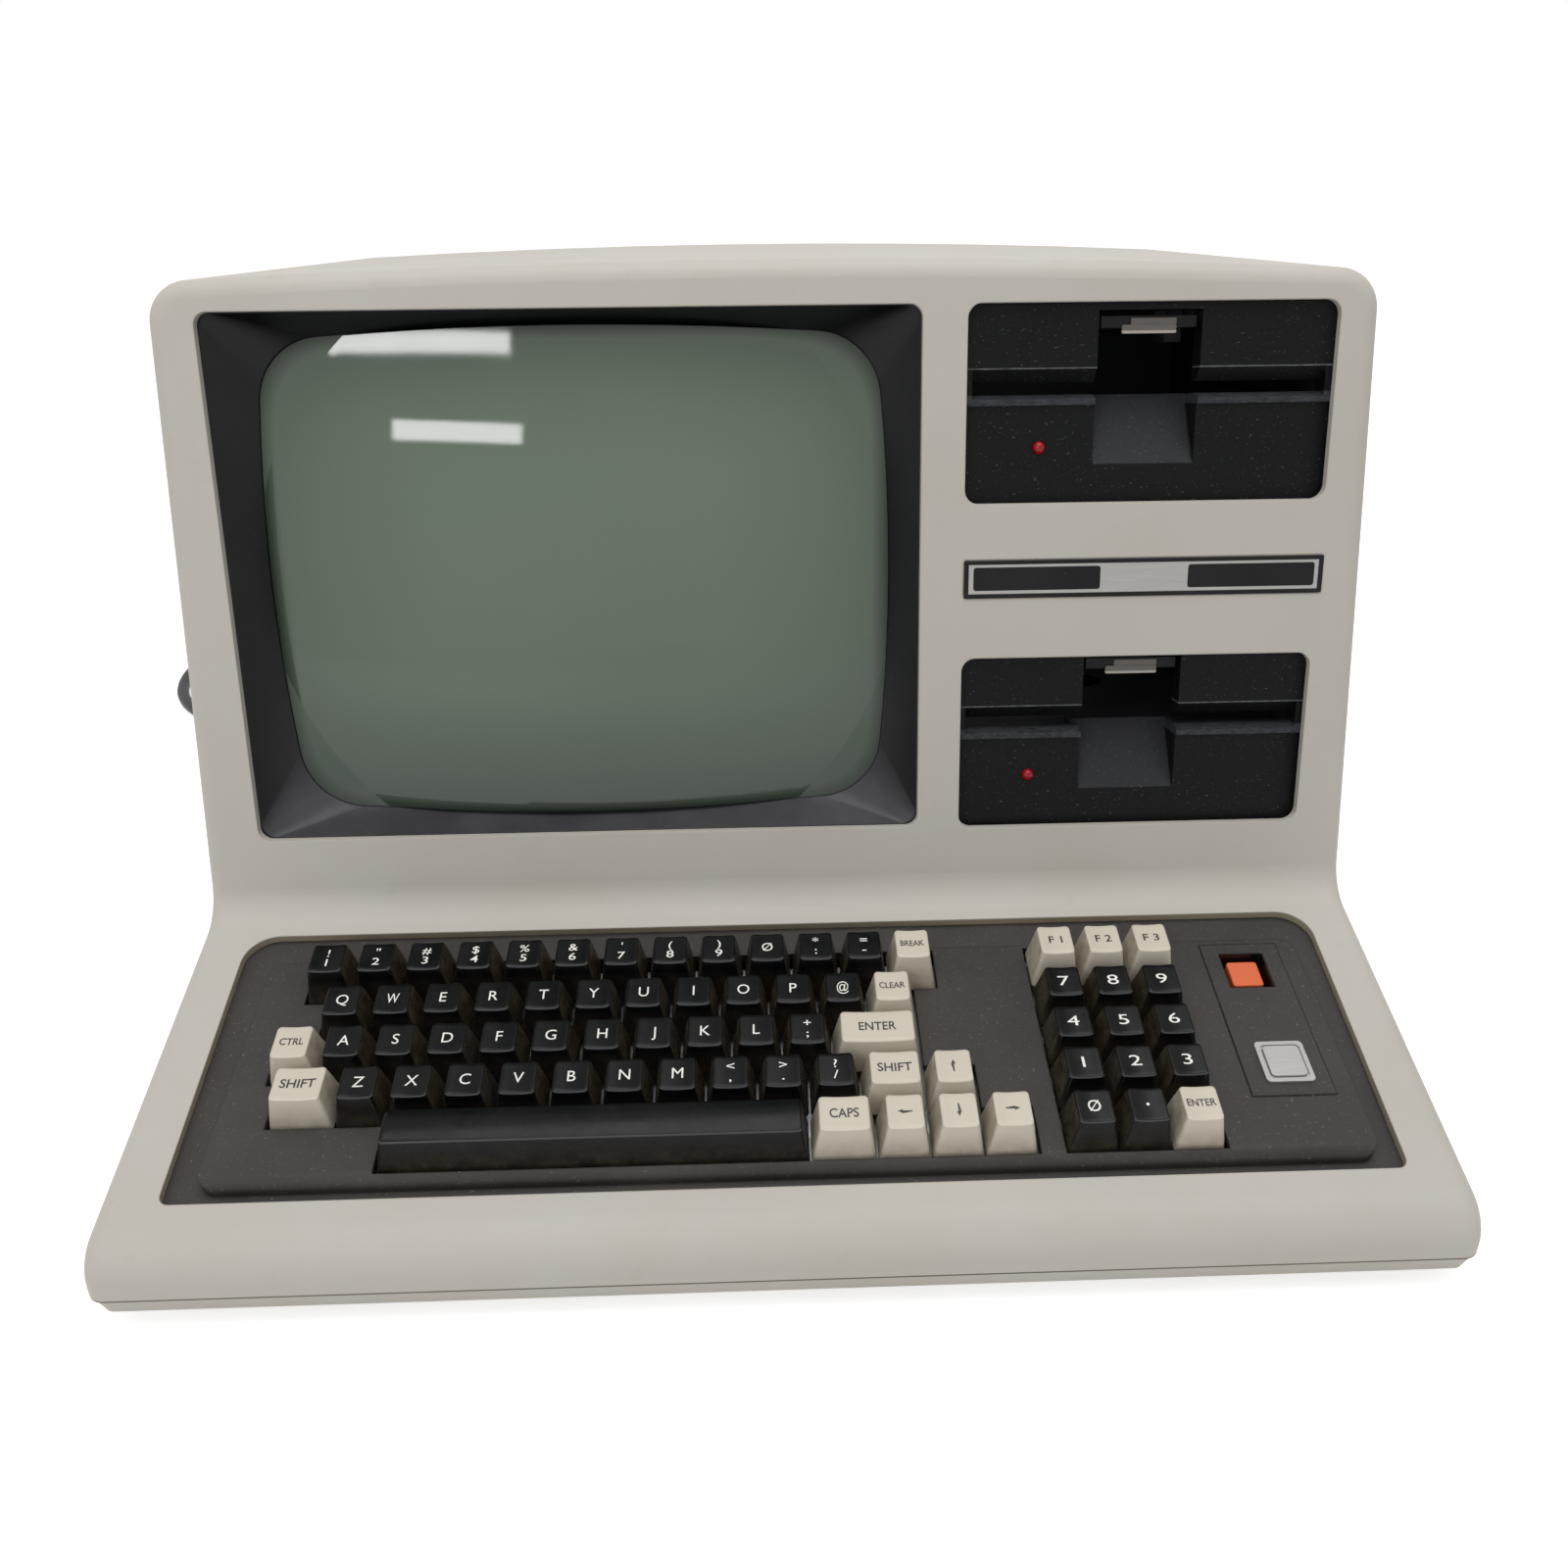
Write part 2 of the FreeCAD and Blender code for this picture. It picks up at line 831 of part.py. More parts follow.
def make_base_tray():
    points = tray_outline()
    small = [edge_round - tray_tuck] * 4
    top_wire = outline(points, [edge_round] * 4, lambda p: V(p.x, p.y, part_line))
    low_wire = outline(spread(points, tray_tuck), small, lambda p: V(p.x, p.y, foot_height))
    tray = Part.makeLoft([low_wire, top_wire], True, True)
    inside = spread(points, tray_wall + tray_tuck)
    tray = tray.cut(plate(inside, small, floor_z, part_line + overrun))
    lip_out = spread(points, wall + seat_gap)
    lip = plate(lip_out, small, part_line - tray_wall, part_line + lip_rise)
    lip = lip.cut(plate(spread(lip_out, lip_thick), small, floor_z, part_line + overrun))
    adds = [lip]
    room = plate(spread(points, wall + seat_gap + lip_thick / 2), small, foot_height, part_line + lip_rise)
    for y in rib_places():
        adds.append(block(-width, width, y - rib_thick / 2, y + rib_thick / 2,
                          floor_z - seat_gap, floor_z + rib_high).common(room))
    for x, y, radius, _ in boss_spots():
        adds.append(post(x, y, foot_height + seat_gap, part_line, radius))
    tray = tray.fuse(adds)
    cuts = []
    for x, y, _, _ in boss_spots():
        cuts.append(post(x, y, foot_height - overrun, part_line + overrun, screw_radius + pilot_gap))
        cuts.append(post(x, y, foot_height - overrun, foot_height + screw_head_high + seat_gap,
                         screw_head + seat_gap))
    for i in range(slot_count):
        x = speaker_x + (i - (slot_count - 1) / 2) * slot_pitch
        cuts.append(block(x - slot_width / 2, x + slot_width / 2, speaker_y - slot_length / 2,
                          speaker_y + slot_length / 2, foot_height - overrun, floor_z + seat_gap))
    for x in (brightness_x, contrast_x):
        cuts.append(block(x - knob_thick / 2 - seat_gap, x + knob_thick / 2 + seat_gap,
                          knob_y - knob_slot / 2, knob_y + knob_slot / 2, foot_height - overrun,
                          floor_z + seat_gap))
    cuts.append(block(switch_x - rocker_wide / 2 - rocker_gap, switch_x + rocker_wide / 2 + rocker_gap,
                      switch_y - rocker_reach(), switch_y + rocker_reach(),
                      foot_height - overrun, floor_z + seat_gap))
    return tray.cut(Part.makeCompound(cuts)).removeSplitter()


def make_feet():
    feet = []
    for side in (-1, 1):
        for y in (nose + foot_front, rear - foot_back):
            foot = Part.makeCone(foot_radius - foot_taper, foot_radius, foot_height,
                                 V(side * (width / 2 - foot_inset_x), y, 0))
            feet.append(foot)
    return Part.makeCompound(feet)


def make_screws():
    screws = []
    head_z = foot_height + seat_gap
    for x, y, _, top in boss_spots():
        screws.append(post(x, y, head_z, head_z + screw_head_high, screw_head).fuse(
            post(x, y, head_z, top - wall - screw_end_gap, screw_radius)))
    return Part.makeCompound(screws)


def pillow(half_x, half_z, bulge_x, bulge_z, corner, y):
    """Eight-edge wire of a bulging rounded rectangle in the face frame."""
    side_x = half_x - bulge_x
    side_z = half_z - bulge_z
    radius_x = (side_z * side_z + bulge_x * bulge_x) / (2 * bulge_x)
    radius_z = (side_x * side_x + bulge_z * bulge_z) / (2 * bulge_z)
    centre_side = V(half_x - radius_x, 0, 0)
    centre_top = V(0, half_z - radius_z, 0)
    reach_side = radius_x - corner
    reach_top = radius_z - corner
    gap = centre_top - centre_side
    distance = gap.Length
    along = (reach_side ** 2 - reach_top ** 2 + distance ** 2) / (2 * distance)
    offset = math.sqrt(reach_side ** 2 - along ** 2)
    direction = unit(gap)
    sideways = V(-direction.y, direction.x, 0)
    first = centre_side + direction * along + sideways * offset
    second = centre_side + direction * along - sideways * offset
    centre = first if first.x > 0 and first.y > 0 else second
    side_end = centre + unit(centre - centre_side) * corner
    top_end = centre + unit(centre - centre_top) * corner
    middle = centre + unit(unit(centre - centre_side) + unit(centre - centre_top)) * corner

    def at(p, mirror_x, mirror_z):
        return V(screen_x + mirror_x * p.x, y, screen_z + mirror_z * p.y)

    middle_side = V(half_x, 0, 0)
    middle_top = V(0, half_z, 0)
    edges = [
        Part.Arc(at(side_end, 1, -1), at(middle_side, 1, 1), at(side_end, 1, 1)).toShape(),
        Part.Arc(at(side_end, 1, 1), at(middle, 1, 1), at(top_end, 1, 1)).toShape(),
        Part.Arc(at(top_end, 1, 1), at(middle_top, 1, 1), at(top_end, -1, 1)).toShape(),
        Part.Arc(at(top_end, -1, 1), at(middle, -1, 1), at(side_end, -1, 1)).toShape(),
        Part.Arc(at(side_end, -1, 1), at(middle_side, -1, 1), at(side_end, -1, -1)).toShape(),
        Part.Arc(at(side_end, -1, -1), at(middle, -1, -1), at(top_end, -1, -1)).toShape(),
        Part.Arc(at(top_end, -1, -1), at(middle_top, 1, -1), at(top_end, 1, -1)).toShape(),
        Part.Arc(at(top_end, 1, -1), at(middle, 1, -1), at(side_end, 1, -1)).toShape(),
    ]
    return Part.Wire(edges)


def rim(grow, y):
    return pillow(rim_half_x + grow, rim_half_z + grow, rim_bulge_x, rim_bulge_z, rim_corner + grow, y)


def mask_window(grow, y):
    """Rounded rectangle of the screen opening as eight arcs that match the rim's."""
    half_x = (screen_right - screen_left) / 2 + grow
    half_z = (screen_high - screen_low) / 2 + grow
    return pillow(half_x, half_z, mask_bow, mask_bow, screen_corner + mask_corner_extra, y)


def make_screen_bezel():
    flange = rounded_cut(screen_left - mask_flange, screen_right + mask_flange, screen_low - mask_flange,
                         screen_high + mask_flange, mask_flange, mask_front, mask_front + mask_thick)
    outer = Part.makeLoft([mask_window(mask_thick, mask_front + seat_gap), rim(mask_thick, tube_depth)],
                          True, True)
    window = Part.makeLoft([mask_window(-seat_gap, mask_front), rim(0, tube_depth)], True, True)
    body = flange.fuse([outer])
    body = body.cut(window)
    past = Part.Face(rim(0, tube_depth - seat_gap)).extrude(V(0, overrun, 0))
    return on_face(body.cut(past).removeSplitter())


def make_envelope(inset, start, panel_y, throat, end):
    """Panel sides and funnel, inset by the glass."""
    mouth = neck_radius + throat
    panel = Part.Face(rim(glass_lip - inset, panel_y)).extrude(V(0, start - panel_y, 0))
    funnel = Part.makeLoft([rim(glass_lip - inset - seat_gap, start - seat_gap),
                            pillow(mouth, mouth * throat_squash_share, throat / 4, throat / 4,
                                   neck_radius, end)], True, True)
    return panel.fuse(funnel)


def make_picture_tube():
    front_y = tube_depth + seat_gap
    start = front_y + glass_panel
    end = start + funnel_deep
    reach = rim_half_x + glass_lip
    radius = (reach * reach + glass_bulge * glass_bulge) / (2 * glass_bulge)
    ball = Part.makeSphere(radius, V(screen_x, front_y - glass_bulge + radius, screen_z))
    window = Part.Face(rim(-seat_gap, front_y - glass_bulge)).extrude(V(0, glass_bulge + seat_gap, 0))
    outer = make_envelope(0, start, front_y, funnel_throat, end)
    cone = Part.makeCone(neck_radius + funnel_throat / 2, neck_radius, funnel_throat,
                         V(screen_x, end - seat_gap, screen_z), V(0, 1, 0))
    neck = rod(screen_x, end, end + neck_long, screen_z, neck_radius)
    glass = outer.fuse([window.common(ball), cone, neck])
    inner = make_envelope(glass_side_thick, start, front_y + glass_front_thick, funnel_throat - funnel_thick,
                          end - funnel_thick)
    bore = rod(screen_x, end - 2 * funnel_thick, end + neck_long + overrun, screen_z,
               neck_radius - neck_thick)
    return on_face(glass.cut([inner, bore]).removeSplitter())


def make_tube_band():
    y0 = tube_depth + seat_gap + band_setback
    outer = Part.Face(rim(glass_lip + band_thick, y0)).extrude(V(0, band_deep, 0))
    inner = Part.Face(rim(glass_lip, y0 - overrun)).extrude(V(0, band_deep + 2 * overrun, 0))
    ears = []
    for side in (-1, 1):
        for level in (-1, 1):
            x = screen_x + side * (rim_half_x - ear_wide / 2)
            z = screen_z + level * (rim_half_z - ear_wide / 2)
            ear = block(x - ear_wide, x + ear_wide, y0, y0 + band_thick * 2, z - ear_wide, z + ear_wide)
            tip = rod(x + side * ear_long, y0, y0 + band_thick * 2, z + level * ear_long, ear_wide / 2)
            ears.append(ear.fuse(tip))
    body = outer.fuse(ears).cut(inner)
    holes = []
    for side in (-1, 1):
        for level in (-1, 1):
            x = screen_x + side * (rim_half_x - ear_wide / 2 + ear_long)
            z = screen_z + level * (rim_half_z - ear_wide / 2 + ear_long)
            holes.append(rod(x, y0 - overrun, y0 + overrun, z, screw_radius))
    return on_face(body.cut(Part.makeCompound(holes)).removeSplitter())


def tube_neck_start():
    return tube_depth + seat_gap + glass_panel + funnel_deep


def make_yoke():
    y0 = tube_neck_start() + funnel_throat - seat_gap
    ring = rod(screen_x, y0, y0 + yoke_deep, screen_z, neck_radius + yoke_gap + yoke_wall)
    flare = Part.makeCone(neck_radius + yoke_flare, neck_radius + yoke_wall + yoke_gap, yoke_deep / 2,
                          V(screen_x, y0, screen_z), V(0, 1, 0))
    clamp = rod(screen_x, y0 + yoke_deep, y0 + yoke_deep + yoke_wall, screen_z, neck_radius + yoke_wall / 2)
    bore = rod(screen_x, y0 - overrun, y0 + yoke_deep + overrun, screen_z, neck_radius + seat_gap / 2)
    return on_face(fused([ring, flare, clamp]).cut(bore))


def make_neck_board():
    y0 = tube_neck_start() + neck_long
    half = neck_board_side / 2
    board = block(screen_x - half, screen_x + half, y0 + socket_deep, y0 + socket_deep + board_thick,
                  screen_z - half, screen_z + half)
    socket = rod(screen_x, y0, y0 + socket_deep, screen_z, socket_radius)
    parts = block(screen_x + half / 2, screen_x + half * neck_part_share, y0, y0 + socket_deep,
                  screen_z - half * neck_part_share, screen_z - half / 2)
    return on_face(fused([board, socket, parts]))


def drive_bases():
    return [("upper", upper_drive_z), ("lower", upper_drive_z - drive_pitch)]


def make_drive_front(base):
    top = base + drive_high
    panel = block(drive_x0, drive_x1, drive_front, drive_front + drive_panel, base, top)
    low_cut = block(drive_left - drive_corner, drive_right + drive_corner, drive_front - overrun,
                    drive_front + panel_step, base - overrun, base + step_foot)
    mouth = [
        (drive_front - seat_gap, base + groove_top),
        (drive_front - seat_gap, base + ledge_low - seat_gap / 2),
        (drive_front + seat_gap, base + ledge_low),
        (drive_front + groove_deep, base + slot_low),
        (drive_front + drive_panel + overrun, base + slot_low),
        (drive_front + drive_panel + overrun, base + groove_mouth),
        (drive_front + groove_deep, base + groove_mouth),
    ]
    groove = side_profile(mouth, [0] * len(mouth), groove_left, groove_right)
    tongue_back = drive_front + panel_step + ramp_deep + ramp_back
    tongue = block(notch_left - ramp_wall, notch_right + ramp_wall, drive_front + drive_panel - seat_gap,
                   tongue_back, base + ramp_foot - ramp_wall, base + ramp_top)
    notch = [
        (drive_front - overrun, base + notch_top),
        (drive_front - overrun, base + ramp_foot),
        (drive_front + panel_step, base + ramp_foot),
        (drive_front + panel_step + ramp_deep, base + ramp_top),
        (tongue_back + overrun, base + ramp_top),
        (tongue_back + overrun, base + notch_top),
    ]
    finger = side_profile(notch, [0] * len(notch), notch_left, notch_right)
    lamp = rod(lamp_x, drive_front - overrun, drive_front + lamp_deep + overrun, base + lamp_z,
               lamp_radius + lamp_gap)
    front = panel.fuse(tongue).cut([low_cut, groove, finger, lamp])
    return on_face(front.removeSplitter())


def make_drive_body(base):
    """Cast chassis: two cheeks, a deck with the hub's hole, a back and a bridge with the lever's lugs."""
    y0 = drive_front + drive_panel
    y1 = y0 + body_long
    top = base + drive_high - seat_gap
    cheeks = [block(x, x + body_wall, y0, y1, base + seat_gap, top) for x in (body_x0, body_x1 - body_wall)]
    deck = block(body_x0, body_x1, y0 + deck_setback, y1, base + deck_top - body_wall, base + deck_top)
    hub = post((body_x0 + body_x1) / 2, spindle_depth, base, top, hub_radius)
    back = block(body_x0, body_x1, y1 - body_wall, y1, base + seat_gap, top)
    bridge = block(body_x0, body_x1, lever_pivot - bridge_deep / 2, lever_pivot + bridge_deep / 2,
                   top - body_wall, top)
    lugs = [block(x, x + lug_wide, lever_pivot - lug_deep, lever_pivot + lug_deep,
                  base + lever_top - lug_high, top)
            for x in (lever_x0 - lug_gap - lug_wide, lever_x1 + lug_gap)]
    pins = barrel(lever_x0 - pin_long - pin_gap, lever_x1 + pin_long + pin_gap, lever_pivot,
                  base + lever_top, pin_radius + pin_gap)
    body = fused(cheeks + [deck.cut(hub), back, bridge] + lugs).cut(pins)
    return on_face(body.removeSplitter())


def make_drive_lever(base):
    z = base + lever_top
    arm = block(lever_x0, lever_x1, lever_front + lever_bar, lever_pivot, z - lever_thick / 2,
                z + lever_thick / 2)
    bar = block(lever_x0, lever_x1, lever_front, lever_front + lever_bar,
                z + lever_thick / 2 - lever_bar_high, z + lever_thick / 2)
    lip = block(lip_x0, lip_x1, lever_front, lever_front + lip_deep, z + lever_thick / 2 - lip_high,
                z + lever_thick / 2)
    pivot = barrel(lever_x0, lever_x1, lever_pivot, z, pivot_radius)
    pin = barrel(lever_x0 - pin_long, lever_x1 + pin_long, lever_pivot, z, pin_radius)
    return on_face(fused([arm, bar, lip, pivot, pin]).removeSplitter())


def make_lamps():
    lamps = []
    for _, base in drive_bases():
        stem = rod(lamp_x, drive_front + panel_step, drive_front + lamp_deep, base + lamp_z, lamp_radius)
        dome = Part.makeSphere(lamp_radius, V(lamp_x, drive_front + panel_step, base + lamp_z))
        lamps.append(on_face(stem.fuse(dome)))
    return Part.makeCompound(lamps)


def make_drive_tower():
    low = upper_drive_z - drive_pitch
    high = upper_drive_z + drive_high
    sides = []
    for x in (body_x0 - tower_gap - tower_sheet, body_x1 + tower_gap):
        side = block(x, x + tower_sheet, tower_front, tower_front + tower_long, low - tower_gap - tower_sheet,
                     high - drive_high * tower_top_share)
        side = side.cut(block(x - overrun, x + overrun, tower_front + tower_flange,
                              tower_front + tower_long - tower_flange, low + drive_high,
                              upper_drive_z - tower_flange))
        sides.append(side)
    shelves = []
    for z in (low, upper_drive_z):
        shelf = block(body_x0 - tower_gap - tower_sheet, body_x1 + tower_gap + tower_sheet, tower_front,
                      tower_front + tower_long, z - tower_sheet, z)
        shelf = shelf.cut(block(body_x0 + tower_flange, body_x1 - tower_flange, tower_front + tower_flange,
                                tower_front + tower_long - tower_flange, z - overrun, z + overrun))
        shelves.append(shelf)
    sheet = on_face(fused(sides + shelves))
    feet = []
    for x in (body_x0 - tower_gap - tower_sheet, body_x1 + tower_gap - tower_flange + tower_sheet):
        for share in tower_leg_shares:
            y = neck_y + tower_long * share
            leg = block(x, x + tower_flange, y, y + tower_flange, floor_z + rib_high, neck_z + low)
            feet.append(leg)
    ground = on_face(block(-width, width, -depth, depth, low - tower_gap - tower_sheet - height,
                           low - tower_sheet))
    legs = Part.makeCompound(feet).common(ground)
    return sheet.fuse(legs).removeSplitter()


def row_y(row):
    return (2 - row) * key_pitch


def run_spots(start, run):
    """Key middles of one run as (row, x, width in pitches)."""
    row, column, count = run
    return [(row, start + (column + i) * key_pitch, 1) for i in range(count)]


def black_rows():
    """Each node of joined keys with the middles of its keys."""
    rows = {name: run_spots(main_column, run) for name, run in main_row_shares.items()}
    rows["keypad_digit_keys"] = [spot for run in pad_row_shares for spot in run_spots(pad_column, run)]
    return rows


def single_keys():
    """Each key with a node of its own, as (row, x, width in pitches)."""
    keys = {}
    for start, table in ((main_column, main_key_shares), (pad_column, pad_key_shares)):
        for name, (row, column, size) in table.items():
            keys[name] = (row, start + column * key_pitch, size)
    return keys


def key_spots():
    spots = [spot for row in black_rows().values() for spot in row]
    return spots + list(single_keys().values())


def make_key(row, x, size):
    """A hollow tapered cap with its square stem."""
    y = row_y(row)
    half = (size * key_pitch - key_gap) / 2
    deep = (key_pitch - key_gap) / 2
    top_half = half - key_top_narrow / 2
    top_deep = key_top_deep / 2
    top = row_rise[row]

    def ring(half_x, half_y, shift, z):
        corners = rectangle(x - half_x, x + half_x, y + shift - half_y, y + shift + half_y)
        return outline(corners, [0] * len(corners), lambda p: V(p.x, p.y, z))

    outer = Part.makeLoft([ring(half, deep, 0, -key_base), ring(top_half, top_deep, key_top_back, top)],
                          True, True)
    inner = Part.makeLoft([ring(half - key_wall, deep - key_wall, 0, -key_base - seat_gap),
                           ring(top_half - key_wall, top_deep - key_wall, key_top_back, top - key_roof)],
                          True, True)
    stem = block(x - stem_side / 2, x + stem_side / 2, y - stem_side / 2, y + stem_side / 2,
                 -stem_long, top - key_roof / 2)
    return on_keys(outer.cut(inner).fuse(stem))


def make_switches():
    made = []
    pit = stem_side / 2 + stem_gap
    for row, x, _ in key_spots():
        y = row_y(row)
        head = block(x - switch_head_side / 2, x + switch_head_side / 2, y - switch_head_side / 2,
                     y + switch_head_side / 2, -sheet_top, -switch_head_top)
        base = block(x - switch_side / 2, x + switch_side / 2, y - switch_side / 2, y + switch_side / 2,
                     -switch_foot, -sheet_top)
        hole = block(x - pit, x + pit, y - pit, y + pit, -switch_head_top - switch_pocket, 0)
        made.append(on_keys(head.fuse(base).cut(hole)))
    half = reset_switch_side / 2
    pit = button_stem / 2 + stem_gap
    body = block(well_x - half, well_x + half, well_y - half, well_y + half, -switch_foot, -reset_switch_top)
    hole = block(well_x - pit, well_x + pit, well_y - pit, well_y + pit, -switch_foot + seat_gap, 0)
    made.append(on_keys(body.cut(hole)))
    return Part.makeCompound(made)


def make_switch_plate():
    sheet = plate(rectangle(sheet_left, sheet_right, sheet_front, sheet_back), [pillar_radius] * 4,
                  -sheet_top - sheet_thick, -sheet_top)
    holes = []
    for row, x, _ in key_spots():
        y = row_y(row)
        half = switch_side / 2
        holes.append(block(x - half, x + half, y - half, y + half, -sheet_top - overrun, 0))
    return on_keys(sheet.cut(Part.makeCompound(holes)))


def make_keyboard_board():
    board = plate(rectangle(sheet_left, circuit_right, sheet_front, sheet_back), [pillar_radius] * 4,
                  -switch_foot - board_thick, -switch_foot)
    plug = block(plateau_left / 2, plateau_left / 2 + plug_pins * switch_side, sheet_back - switch_side,
                 sheet_back - stem_side, -switch_foot - board_thick - stem_side,
                 -switch_foot - board_thick)
    return on_keys(board.fuse(plug))


def row_ends(row):
    ends = []
    for r, x, size in key_spots():
        if r == row:
            ends.append((x - size * key_pitch / 2, x + size * key_pitch / 2))
    ends.sort()
    groups = [list(ends[0])]
    for left, right in ends[1:]:
        if left - groups[-1][1] < key_pitch * row_joint_share:
            groups[-1][1] = right
        else:
            groups.append([left, right])
    return groups


def plateau_height(y):
    share = (y - plateau_front) / (plateau_back - plateau_front)
    return -plateau_high_front - share * (plateau_high_back - plateau_high_front)


def slanted(y0, y1, under, over, x0, x1):
    """A block whose top and bottom follow the plateau's slope."""
    points = [(y0, plateau_height(y0) + under), (y1, plateau_height(y1) + under),
              (y1, plateau_height(y1) + over), (y0, plateau_height(y0) + over)]
    return side_profile(points, [0] * len(points), x0, x1)


def square_ring(half, z):
    corners = rectangle(well_x - half, well_x + half, well_y - half, well_y + half)
    return outline(corners, [0] * len(corners), lambda p: V(p.x, p.y, z))


def make_keyboard_bezel():
    border = plate(rectangle(-keyboard_half - border_under, keyboard_half + border_under, border_front,
                             border_back), [keyboard_front_corner] * 4, -wall - moulding, -wall)
    bottom = -sheet_top - overrun
    plan = rectangle(plateau_left, plateau_right, plateau_front, plateau_back)
    footprint = plate(plan, [plateau_corner] * 4, bottom, 0)
    top_profile = [(plateau_front, bottom), (plateau_back, bottom), (plateau_back, -plateau_high_back),
                   (plateau_front, -plateau_high_front)]
    raised = side_profile(top_profile, [0, 0, 0, plateau_round], plateau_left, plateau_right)
    raised = raised.common(footprint)
    room = plate(spread(plan, moulding), [plateau_corner - moulding] * 4, bottom, 0)
    inner_profile = spread(top_profile, moulding)
    inner_profile = [(inner_profile[0][0], bottom), (inner_profile[1][0], bottom)] + inner_profile[2:]
    hollow = side_profile(inner_profile, [0, 0, 0, plateau_round - moulding], plateau_left, plateau_right)
    hollow = hollow.common(room)
    under_border = on_deck(block(-width, width, -depth, depth, -height, -wall - moulding))
    panel = slanted(panel_y0, panel_y1, -moulding / 2, panel_rise, panel_x0, panel_x1)
    throat = well_throat / 2
    under_top = -plateau_high_back - moulding / 2
    tube = block(well_x - throat - well_wall, well_x + throat + well_wall, well_y - throat - well_wall,
                 well_y + throat + well_wall, -plateau_high_front - well_tube, under_top)
    cup = Part.makeLoft([square_ring(throat + well_wall, -plateau_high_back - well_funnel),
                         square_ring(well_wide / 2 + well_wall, under_top)], True, True)
    pillars = [post(x, y, -sheet_top, plateau_height(y) - moulding / 2, pillar_radius)
               for x, y in pillar_places]
    lower = Part.makeCompound(pillars).common(footprint)
    body = on_deck(border).cut(on_keys(hollow))
    body = body.fuse(on_keys(raised.cut(hollow)).cut(under_border))
    body = body.fuse([on_keys(panel), on_keys(tube), on_keys(cup), on_keys(lower)])
    cuts = []
    for row in range(len(row_rise)):
        for left, right in row_ends(row):
            y = row_y(row)
            reach = (key_pitch - key_gap) / 2 + key_clear
            cuts.append(block(left + key_gap / 2 - key_clear, right - key_gap / 2 + key_clear,
                              y - reach, y + reach, -sheet_top + seat_gap, height))
    cuts.append(block(well_x - throat, well_x + throat, well_y - throat, well_y + throat, -height, 0))
    cuts.append(Part.makeLoft([square_ring(throat, -plateau_high_back - well_funnel),
                               square_ring(well_wide / 2, -plateau_high_front + seat_gap)], True, True))
    return body.cut(on_keys(Part.makeCompound(cuts))).removeSplitter()


def make_reset_button():
    half = button_side / 2
    body = plate(rectangle(well_x - half, well_x + half, well_y - half, well_y + half), [button_round] * 4,
                 -button_top - button_high, -button_top)
    rims = [e for e in body.Edges if min(v.Z for v in e.Vertexes) > -button_top - seat_gap]
    body = body.makeFillet(button_round / 2, rims)
    foot = -button_top - button_high
    stem = block(well_x - button_stem / 2, well_x + button_stem / 2, well_y - button_stem / 2,
                 well_y + button_stem / 2, foot - button_stem_long, foot)
    return on_keys(body.fuse(stem))


def make_badge():
    half = badge_side / 2
    tilt = math.degrees(math.atan((plateau_high_front - plateau_high_back) / (plateau_back - plateau_front)))
    step = badge_high * badge_frame_share
    frame = plate(rectangle(-half, half, -half, half), [badge_round] * 4, 0, step)
    inner = half - badge_rim
    groove = plate(rectangle(-inner, inner, -inner, inner), [badge_round] * 4, step / 2, badge_high)
    inner -= badge_groove
    pad = plate(rectangle(-inner, inner, -inner, inner), [badge_round] * 4, 0, badge_high)
    rims = [e for e in pad.Edges if min(v.Z for v in e.Vertexes) > badge_high - badge_edge]
    pad = pad.makeFillet(badge_edge, rims)
    badge = frame.cut(groove).fuse(pad)
    place = FreeCAD.Placement(V(badge_x, badge_y, plateau_height(badge_y) + panel_rise),
                              FreeCAD.Rotation(V(1, 0, 0), tilt))
    badge.Placement = FreeCAD.Placement(V(0, home_row_y, home_row_z),
                                        FreeCAD.Rotation(V(1, 0, 0), key_slope)).multiply(place)
    return badge


def make_nameplate():
    plate_body = rounded_cut(plate_left, plate_right, plate_low, plate_high, plate_corner,
                             plate_pocket - plate_thick, plate_pocket)
    return on_face(plate_body)


def make_power_supply():
    low = floor_z + rib_high
    high = low + supply_high
    case = block(supply_x0, supply_x1, supply_y0, supply_y1, low, high)
    inside = block(supply_x0 + supply_wall, supply_x1 - supply_wall, supply_y0 + supply_wall,
                   supply_y1 - supply_wall, low + supply_wall, high - supply_wall)
    box = case.cut(inside)
    holes = []
    count = int(supply_long / (2 * supply_open)) - 1
    for i in range(count):
        y = supply_y0 + 2 * supply_open * (i + 1)
        for x in (supply_x0, supply_x1):
            holes.append(block(x - supply_open, x + supply_open, y, y + supply_open,
                               high - supply_open - slot_width, high - supply_open))
    box = box.cut(Part.makeCompound(holes))
    middle = (supply_x0 + supply_x1) / 2
    core = block(middle - coil_core, middle + coil_core, supply_y0 + coil_core / 2, supply_y0 + coil_core * 2,
                 low + supply_wall / 2, high - coil_core / 2)
    cans = [post(middle + side * coil_core / 2, supply_y1 - coil_core, low + supply_wall / 2,
                 high - coil_core / 2, coil_core / 2 - slot_width) for side in (-1, 1)]
    return fused([box, core] + cans)


